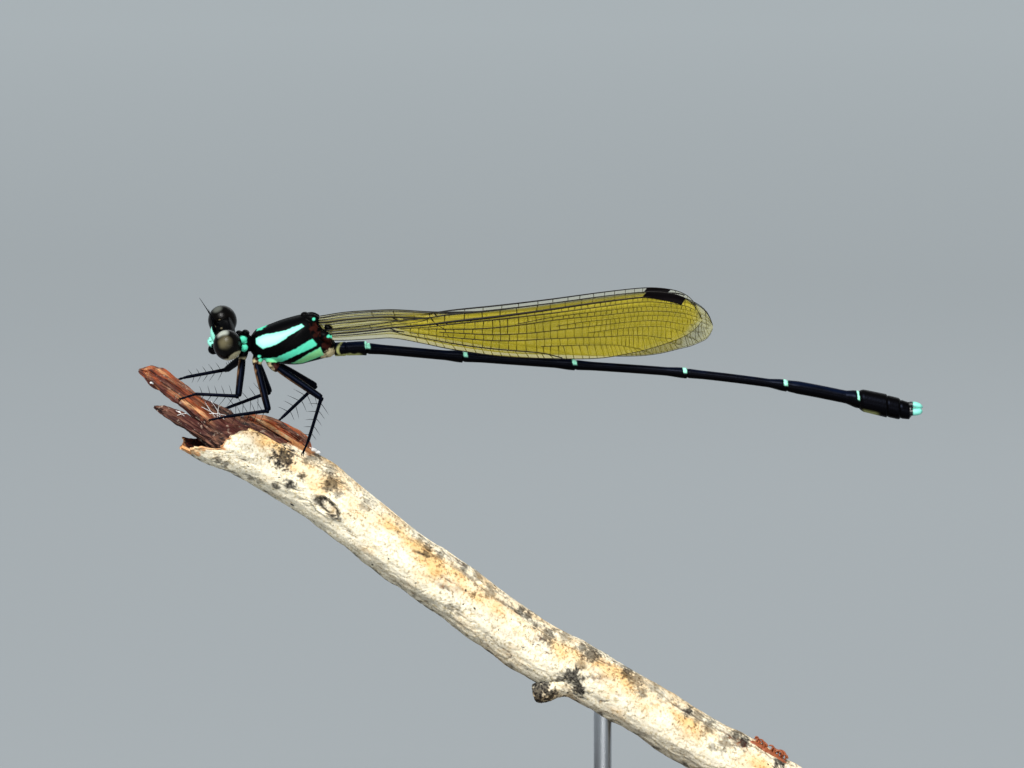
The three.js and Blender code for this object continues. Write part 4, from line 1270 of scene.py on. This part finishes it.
# Crusts of lichen and sooty stains on the near side: x, z, radius, depth of colour
STAINS = [
    (-13.9, 20.95, 0.75, 0.36), (-13.3, 20.4, 0.6, 0.26), (-15.65, 20.05, 0.24, 0.8),
    (-15.3, 19.85, 0.2, 0.7), (-13.95, 19.15, 0.2, 0.6), (-13.55, 18.95, 0.2, 0.6),
    (-12.35, 20.2, 0.62, 1.0), (-10.85, 20.22, 0.5, 0.7), (-10.05, 19.5, 0.4, 0.6),
    (-11.45, 19.25, 0.2, 0.9), (-12.05, 18.8, 0.3, 1.0), (-12.75, 18.75, 0.22, 0.9),
    (-9.95, 18.9, 0.45, 0.85), (-9.65, 18.4, 0.26, 0.7), (-10.65, 18.0, 0.2, 0.9),
    (-10.42, 18.06, 0.2, 0.9), (-8.25, 17.75, 0.3, 0.6), (-5.2, 15.5, 0.32, 0.85),
    (-5.55, 15.95, 0.26, 0.5), (-4.55, 15.2, 0.22, 0.7), (-3.3, 14.6, 0.25, 0.8),
    (-2.65, 14.15, 0.3, 0.6), (-2.05, 13.4, 0.34, 0.65), (-3.95, 12.65, 0.3, 0.6),
    (-3.65, 12.4, 0.22, 0.6), (-0.55, 12.4, 0.22, 0.9), (-0.1, 12.15, 0.26, 0.9),
    (0.2, 11.65, 0.18, 0.9), (0.85, 11.15, 0.42, 0.85), (1.7, 11.1, 0.34, 0.6),
    (3.05, 10.25, 0.5, 0.9), (2.6, 10.5, 0.26, 0.8), (2.5, 9.7, 0.3, 0.6),
    (2.05, 9.15, 0.55, 1.0), (1.45, 8.85, 0.42, 0.85), (2.4, 8.5, 0.36, 1.0),
    (4.85, 9.3, 0.34, 0.9), (5.25, 8.85, 0.4, 0.7), (5.6, 8.35, 0.26, 0.7),
    (6.2, 8.5, 0.32, 0.6), (6.55, 8.15, 0.2, 0.5), (7.9, 7.3, 0.26, 1.0), (8.35, 7.0, 0.3, 0.7),
    (8.9, 6.65, 0.36, 0.8), (9.75, 5.75, 0.46, 0.7), (10.3, 6.1, 0.3, 0.9),
    (10.7, 5.8, 0.3, 1.0), (9.05, 5.6, 0.2, 0.6), (12.5, 4.72, 0.32, 1.0)]


# Lichen crusts, sooty stains, the scar's groove and the crack are the bark's own; the dark along the
# lower edge is painted shade
def stain_at(co):
    x, z = co.x, co.z - LIFT
    if co.y > 0.2:
        return 0.0
    crumbs = ragged(co, 0.22, 0.6) + ragged(co, 0.1, 0.75)
    found = 0
    for a, b, r, depth in STAINS:
        if abs(x - a) < 1.2 and abs(z - b) < 1.2:
            found = max(found, depth * ramp(-0.2, 0.35, 1 - math.hypot(x - a, z - b) / r + crumbs))
    high, around, r = about_twig(co)
    groove = abs(scar_ring(x, around) - 0.74)
    found = max(found, ramp(0.3, 0.08, groove + ragged(co, 0.12, 0.3)))
    if -6.2 < x < 13.4:
        seam = near_seam(x, around)[0] + ragged(co, 0.1, 0.05)
        depth = 0.55 + 0.9 * grit(x * 1.1, 6.5, 0.5)
        found = max(found, ramp(0.1, 0.02, seam) * min(max(depth, 0.1), 1) * ramp(-6.2, -5.6, x))
    # Painted shade along the lower edge, where the twig turns away from the light
    high /= r
    low = ramp(-0.84, -0.97, high + ragged(co, 0.5, 0.2)) * ramp(-0.1, 0.3, ragged(co, 0.3, 1))
    # Broken crusts along the upper edge
    crest = ramp(0.5, 0.85, high + ragged(co, 0.8, 0.3)) * ramp(0.0, 0.5, crumbs)
    return max(found, low * 0.8, crest * 0.75 * ramp(-11.5, -10.5, x))


def upper_side_at(co):
    """How far up the side of the twig a point is, 0 below and 1 on top."""
    high, around, r = about_twig(co)
    high /= r
    return ramp(-0.3, 0.75, high + ragged(co, 0.9, 0.5)) * (1 - 0.6 * ramp(0.6, 0.95, high))


marked(bark, rim=rim_at, inside=inside_at, stain=stain_at, upper=upper_side_at)


def turned(tree, place, degrees):
    """A pattern turned about the Y axis, to lie along the slanting twig."""
    return put(tree, "ShaderNodeMapping", {
        "Vector": place, "Rotation": (0, math.radians(degrees), 0)}).outputs[0]


def stretched(tree, place, factors):
    return put(tree, "ShaderNodeVectorMath", {0: place, 1: factors},
               operation="MULTIPLY").outputs[0]


# Dead bark, bleached by the sun: dry and matt, cream with orange-tan blotches, grey streaks along
# the grain and crusts of black lichen a few tenths of a millimetre wide; the same black laid along
# the lower edge is painted shade
bleached, tree, place = finish_named("bleached_bark")
turn = turned(tree, place, -33)
grain = stretched(tree, turn, (0.6, 1, 1))
masks = {name: mask(tree, name) for name in ("rim", "inside", "stain", "upper")}
blotch = clouds(tree, grain, 700.0, 4.0, 0.6)
leaning = maths(tree, "MULTIPLY_ADD", masks["upper"], 0.27, blotch)
tan_mask = between(tree, leaning, 0.55, 0.82)
# Speckle of pores and crumbs about 0.1 mm across
speckle = clouds(tree, place, 7000.0, 4.0, 0.7)
speckle_mask = between(tree, speckle, 0.5, 0.62)
grey = clouds(tree, grain, 1500.0, 5.0, 0.7)
grey_mask = between(tree, grey, 0.47, 0.64)
broken = maths(tree, "MULTIPLY", speckle_mask, grey_mask)
dots = clouds(tree, place, 3300.0, 2.0)
dots_mask = between(tree, dots, 0.7, 0.74)
cream = blend(tree, speckle_mask, "#fdf3da", "#e0cfa6")
rust = blend(tree, speckle_mask, "#ecc78c", "#c08a4e")
tanned = blend(tree, tan_mask, cream, rust)
crusty = maths(tree, "MULTIPLY_ADD", masks["upper"], 0.55, 0.45)
broken = maths(tree, "MULTIPLY", broken, crusty)
greyed = blend(tree, broken, tanned, "#66563f")
# The stain mask also carries the painted shade along the twig's lower edge
soot = between(tree, speckle, 0.35, 0.6, first=0.82, last=1.0)
stained = maths(tree, "MULTIPLY", masks["stain"], soot)
dark = maths(tree, "MAXIMUM", dots_mask, stained)
spotted = blend(tree, dark, greyed, "#161517")
raw = blend(tree, grey_mask, "#dc9a62", "#f3ddb2")
rimmed = blend(tree, masks["rim"], spotted, raw)
deep = blend(tree, speckle_mask, "#240b07", "#6e2a16")
colour = blend(tree, masks["inside"], rimmed, deep)
height = maths(tree, "MULTIPLY_ADD", grey, 0.6, speckle)
relief = relieved(tree, height, 0.6, 0.00008)
shown(tree, {"Base Color": colour, "Roughness": 0.85, "Specular IOR Level": 0.2, "Normal": relief})
mounted(bark, bleached, "twig_bark", "perch_twig", angle=60)


# Knot stub and rust curls
# The stump of a fallen shoot hangs under the bend of the twig, and a few rust-red papery curls of
# peeled inner bark stand on its top.

stub = swept("stub", lifted([(2.3, -0.3, 9.0), (1.6, -0.55, 8.75), (1.05, -0.66, 8.48),
                             (0.55, -0.68, 8.3), (0.12, -0.64, 8.2)]),
             [0.85, 0.75, 0.55, 0.56, 0.42], sides=70, steps=110)
for corner in stub.data.vertices:
    wrinkle = 0.07 * noise.noise(corner.co * 2.2) + 0.05 * noise.noise(corner.co * 6)
    wrinkle -= 0.05 * max(0, 1 - abs(noise.noise(corner.co * 3.4)) / 0.08)
    corner.co += corner.normal * wrinkle


def stub_stain_at(co):
    crumbs = ragged(co, 0.22, 0.5) + ragged(co, 0.1, 0.4)
    return ramp(-0.1, 0.35, 0.62 - abs(co.x - 0.35) / 1.6 + crumbs + 1.2 * ragged(co, 0.3, 0.5))


marked(stub, rim=0.0, inside=0.0, stain=stub_stain_at, upper=0.3)
mounted(stub, bleached, "twig_bark", angle=60)

curls = []
for k in range(15):
    x = 11.25 + 0.085 * k + 0.25 * (k > 5) + 0.1 * grit(k * 3.7, 0.5, 0.5)
    foot = Vector((x, -0.3 + 0.4 * grit(k * 2.1, 5.5, 0.5), 0))
    foot.z = twig_frame(x)[0].z + LIFT + 1.62
    size = 0.19 + 0.18 * grit(k * 1.3, 7.5, 2.5)
    twist = math.radians(200) * grit(k * 4.1, 1.5, 9.5)
    lie = 0.7 * grit(k * 5.3, 8.5, 2.5)
    line = []
    for i in range(8):
        swing = math.radians(-80 + 31 * k % 90) + i / 7 * math.radians(200)
        reach = size * (1 - 0.04 * i)
        line.append((foot.x + reach * math.cos(swing) * math.cos(twist),
                     foot.y + reach * math.cos(swing) * math.sin(twist) + 0.03 * i,
                     foot.z + reach * math.sin(swing) + 0.05 * lie * i))
    curls.append(swept("curl", line, [0.045, 0.05, 0.055, 0.05, 0.045, 0.045, 0.035, 0.015],
                       sides=12, steps=40, flat=1.9))
curls.append(swept("curl_bed", [(10.8, -0.3, twig_frame(10.8)[0].z + LIFT + 1.44),
                                (11.7, -0.35, twig_frame(11.7)[0].z + LIFT + 1.46),
                                (12.9, -0.3, twig_frame(12.9)[0].z + LIFT + 1.42)],
                   [0.06, 0.13, 0.09], sides=24, steps=80, flat=2.4))
for corner in curls[-1].data.vertices:
    corner.co += corner.normal * 0.07 * noise.noise(corner.co * 5)
curls = welded("rust_curls", curls)

# Papery inner bark, rust-red, thin and slightly shiny
papery, tree, place = finish_named("papery_inner_bark")
shade = clouds(tree, place, 4000.0, 3.0)
colour = blend(tree, shade, "#4a180c", "#c87246")
shown(tree, {"Base Color": colour, "Roughness": 0.5})
mounted(curls, papery, "twig_bark")


# Silk
# A few strands of old spider silk caught on the splinters and on the bark by the hind foot.

strands = []
for k, (ax, az, bx, bz, y) in enumerate((
        (-16.5, 22.65, -15.3, 22.0, -0.5), (-16.3, 22.9, -15.75, 22.1, -0.55),
        (-16.0, 22.95, -15.5, 22.15, -0.5), (-15.6, 22.75, -15.7, 21.95, -0.52),
        (-17.75, 22.45, -17.3, 22.15, -0.5), (-17.7, 22.2, -17.2, 22.3, -0.48),
        (-16.1, 22.3, -15.2, 22.2, -0.55), (-11.1, 20.6, -10.65, 20.35, -0.45),
        (-11.0, 20.5, -10.5, 20.3, -0.5), (-10.95, 20.62, -10.6, 20.25, -0.42))):
    bow = 0.16 * grit(k * 1.9, 2.5, 3.5)
    line = [(ax, y, az), ((ax + bx) / 2, y - 0.1, (az + bz) / 2 + bow), (bx, y, bz)]
    strands.append(swept("strand", lifted(line), [0.014, 0.012, 0.014], sides=6, steps=24))
for x, y, z, r in ((-10.85, -0.5, 20.45, 0.14), (-10.65, -0.5, 20.33, 0.12),
                   (-17.6, -0.3, 22.3, 0.1), (-18.95, -0.25, 23.8, 0.1)):
    strands.append(swept("tuft", lifted([(x - r, y, z), (x, y, z + 0.03), (x + r, y, z - 0.02)]),
                         [r * 0.4, r * 0.7, r * 0.4], sides=16, steps=20))
strands = welded("silk_strands", strands)

# Old silk, matted and white
silk, tree, place = finish_named("matted_silk")
tuft = clouds(tree, place, 9000.0)
colour = blend(tree, tuft, "#d5d3cf", "#ffffff")
shown(tree, {"Base Color": colour, "Roughness": 0.8})
mounted(strands, silk, "twig_bark")


# Broken wood
# The heart of the branch, torn out as two ragged splinters: red-brown and nearly black where it is
# rotten, orange-tan along the upper splinter's fresh edge, lightened there by painted sunlight.

HEART_TIP, HEART_LENGTH = -16.9, 6.6


def heart_point(u, v):
    around = 2 * math.pi * v
    x = HEART_TIP + HEART_LENGTH * u
    centre, along, up, r = twig_frame(x)
    fibre = grit(x * 0.9, math.cos(around) * 7, math.sin(around) * 7)
    fine = grit(x * 3.1, math.cos(around) * 19, math.sin(around) * 19)
    reach = (r - 0.26) * (1 + 0.14 * fibre + 0.05 * fine)
    reach *= math.sqrt(max(0, min(1, u * 2.2))) * math.sqrt(max(0, min(1, (1 - u) * 6)))
    out = Vector((0, math.cos(around), 0)) + up * math.sin(around)
    return centre + out * reach + Vector((0, 0, LIFT))


def tongue(name, line, radii, flat, seed):
    """A splinter of torn fibres along a line of points, with a radius at each."""
    stations = [(i, *p, r) for i, (p, r) in enumerate(zip(lifted(line), radii))]
    last = len(line) - 1

    def place(u, v):
        at = last * u
        x, y, z, r = smooth_between(stations, at)
        ahead = smooth_between(stations, min(at + 0.05, last))
        behind = smooth_between(stations, max(at - 0.05, 0))
        along = Vector((ahead[0] - behind[0], 0, ahead[2] - behind[2])).normalized()
        up = Vector((-along.z, 0, along.x))
        around = 2 * math.pi * v
        c, s = math.cos(around), math.sin(around)
        fibre = grit(u * 3.0, c * 3.2, s * 3.2 + seed)
        split = grit(u * 7.0, c * 7, s * 7 + seed)
        fine = grit(u * 16.0, c * 15, s * 15 + seed)
        reach = r * (1 + 0.3 * fibre + 0.24 * split + 0.14 * fine)
        # Torn ends: the fibres stop at different places
        x += (0.14 + 0.34 * grit(c * 3.5, s * 3.5, seed + 4)) * ramp(0.22, 0.0, u)
        z += 0.2 * grit(c * 3.5, s * 3.5, seed + 9) * ramp(0.22, 0.0, u)
        reach *= math.sqrt(max(0, min(1, u * 9))) * math.sqrt(max(0, min(1, (1 - u) * 9)))
        return Vector((x, y, z)) + Vector((0, c * flat * reach, 0)) + up * (s * reach)

    return rolled(name, 150, 60, place)


wood = [
    rolled("heart", 190, 90, heart_point),
    tongue("upper_splinter", [
        (-19.6, 0, 24.42), (-18.75, 0, 24.12), (-17.65, 0, 23.35), (-16.55, 0, 22.45),
        (-15.2, 0, 21.35), (-13.6, 0, 20.4)],
        [0.22, 0.44, 0.5, 0.56, 0.75, 0.9], 1.0, 3.0),
    tongue("lower_splinter", [
        (-18.82, -0.1, 22.56), (-18.15, -0.15, 22.32), (-17.3, -0.15, 21.86),
        (-16.3, -0.1, 21.25), (-15.2, 0, 20.8), (-13.8, 0, 20.1)],
        [0.14, 0.27, 0.34, 0.44, 0.6, 0.7], 1.1, 9.0),
    tongue("far_ridge", [
        (-15.0, 0.5, 21.7), (-14.2, 0.55, 21.8), (-13.5, 0.5, 21.76), (-12.8, 0.5, 21.5),
        (-12.1, 0.5, 21.2), (-11.5, 0.5, 20.75), (-11.0, 0.4, 20.1)],
        [0.15, 0.3, 0.34, 0.36, 0.36, 0.34, 0.26], 1.2, 15.0),
]
wood = welded("broken_wood", wood)


def fresh_at(co):
    """Fresh orange-tan wood, lightened by painted sunlight, on the upper splinter's tip and top, and
    on the far ridge.
    """
    z = co.z - LIFT
    above = (z - (24.42 - 0.78 * (co.x + 19.6))) + 0.06
    upper = ramp(-0.1, 0.3, above + ragged(co, 0.35, 0.7)) * ramp(-17.1, -18.0, co.x)
    upper = max(upper, ramp(0.1, 0.3, above + ragged(co, 0.3, 0.3)) * ramp(-15.6, -16.6, co.x))
    ridge = ramp(-14.9, -14.0, co.x) * ramp(-0.2, 0.1, co.y) * ramp(
        -0.3, 0.2, z - 21.5 + 0.5 * (co.x + 13.5) + ragged(co, 0.3, 0.7))
    return max(upper, ridge)


marked(wood, fresh=fresh_at)

# Rotten heartwood: fibrous, rough and dull, with fibres about 0.1 mm wide along the grain
heartwood, tree, place = finish_named("rotten_heartwood")
turn = turned(tree, place, -36)
grain = stretched(tree, turn, (0.12, 1, 1))
fibre = clouds(tree, grain, 6000.0, 3.0)
patch = clouds(tree, grain, 1100.0, 3.0)
contrast = between(tree, fibre, 0.46, 0.68)
spread = between(tree, patch, 0.36, 0.64)
fresh = mask(tree, "fresh")
deep = blend(tree, spread, "#120706", "#4a170d")
streaked = blend(tree, contrast, deep, "#94654e")
# Fresh tan wood, its lighter tops a painted highlight of sunlight
sunny = blend(tree, contrast, "#96461f", "#eab780")
half = maths(tree, "MULTIPLY", spread, 0.7)
streaked = blend(tree, half, streaked, deep)
# Dark rot runs into the fresh, painted-sunlit wood in streaks, and pale dry crumbs cling to the rest
rot = clouds(tree, grain, 3000.0, 4.0, 0.65)
rot_mask = between(tree, rot, 0.55, 0.45)
fresher = maths(tree, "MULTIPLY", fresh, rot_mask)
crumb = clouds(tree, place, 5200.0, 3.0)
crumb_mask = between(tree, crumb, 0.62, 0.72)
streaked = blend(tree, crumb_mask, streaked, "#a08d7c")
colour = blend(tree, fresher, streaked, sunny)
relief = relieved(tree, fibre, 0.9, 0.00018)
shown(tree, {"Base Color": colour, "Roughness": 0.8, "Normal": relief})
mounted(wood, heartwood, "twig_bark", angle=60)


# Stand base
# A small plinth of dark oiled hardwood, cut from one board with its edges eased.

# Length, breadth and height
PLINTH = (41, 25, 2.5)

bpy.ops.object.select_all(action="DESELECT")
bpy.ops.mesh.primitive_cube_add(size=1, location=(0, 0, PLINTH[2] / 2))
plinth = bpy.context.object
plinth.name = "plinth"
plinth.scale = PLINTH
bpy.ops.object.transform_apply(location=True, scale=True)
bpy.ops.object.mode_set(mode="EDIT")
# First the upright edges, then the level ones
for upright, width, rounds in ((True, 3, 10), (False, 0.4, 4)):
    corners = bmesh.from_edit_mesh(plinth.data)
    for edge in corners.edges:
        rise = abs(edge.verts[0].co.z - edge.verts[1].co.z)
        edge.select = rise > 1 if upright else rise < 0.01
    corners.select_flush_mode()
    bmesh.update_edit_mesh(plinth.data)
    bpy.ops.mesh.bevel(offset=width, segments=rounds, affect="EDGES")
bpy.ops.object.mode_set(mode="OBJECT")

# Oiled hardwood, planed and sanded: a satin surface with a grain of lines about 0.6 mm apart
oiled, tree, place = finish_named("oiled_hardwood")
warp = clouds(tree, place, 40.0, 2.0)
stretch = stretched(tree, place, (0.12, 1, 1))
shift = put(tree, "ShaderNodeMixRGB", {"Fac": 0.012, "Color1": stretch, "Color2": warp})
rings = put(tree, "ShaderNodeTexWave",
            {"Vector": shift.outputs[0], "Scale": 260.0, "Distortion": 5.0, "Detail": 3.0},
            wave_type="BANDS", bands_direction="Y")
pores = clouds(tree, stretch, 5000.0)
colour = blend(tree, rings.outputs[0], "#271b15", "#34241b")
relief = relieved(tree, pores, 0.2, 0.00005)
shown(tree, {"Base Color": colour, "Roughness": 0.42, "Normal": relief})
mounted(plinth, oiled, "base_wood", "stand_base")


# Stand rods
# Two drawn steel rods, let into the plinth and ending in the underside of the twig.

# Height of the rods' lower ends, inside the plinth
ROD_FOOT = 1.6

# Drawn stainless steel, brushed along its length
drawn, tree, place = finish_named("drawn_steel")
stretch = stretched(tree, place, (1, 1, 0.03))
lines = clouds(tree, stretch, 9000.0)
gloss = between(tree, lines, first=0.2, last=0.38)
relief = relieved(tree, lines, 0.15, 0.00002)
shown(tree, {"Base Color": hue("#b9bcc0"), "Metallic": 1.0, "Roughness": gloss, "Normal": relief})

for name, x in (("stand_rod_middle", 3.6), ("stand_rod_end", 10.9)):
    top = on_twig(x, 1.5 * math.pi, 0).z + LIFT + 0.5
    rod = swept(name + "_steel", [(x, 0, ROD_FOOT), (x, 0, ROD_FOOT + (top - ROD_FOOT) / 2),
                                  (x, 0, top)], [0.45, 0.45, 0.45], sides=40, steps=60)
    mounted(rod, drawn, "rod_steel", name)
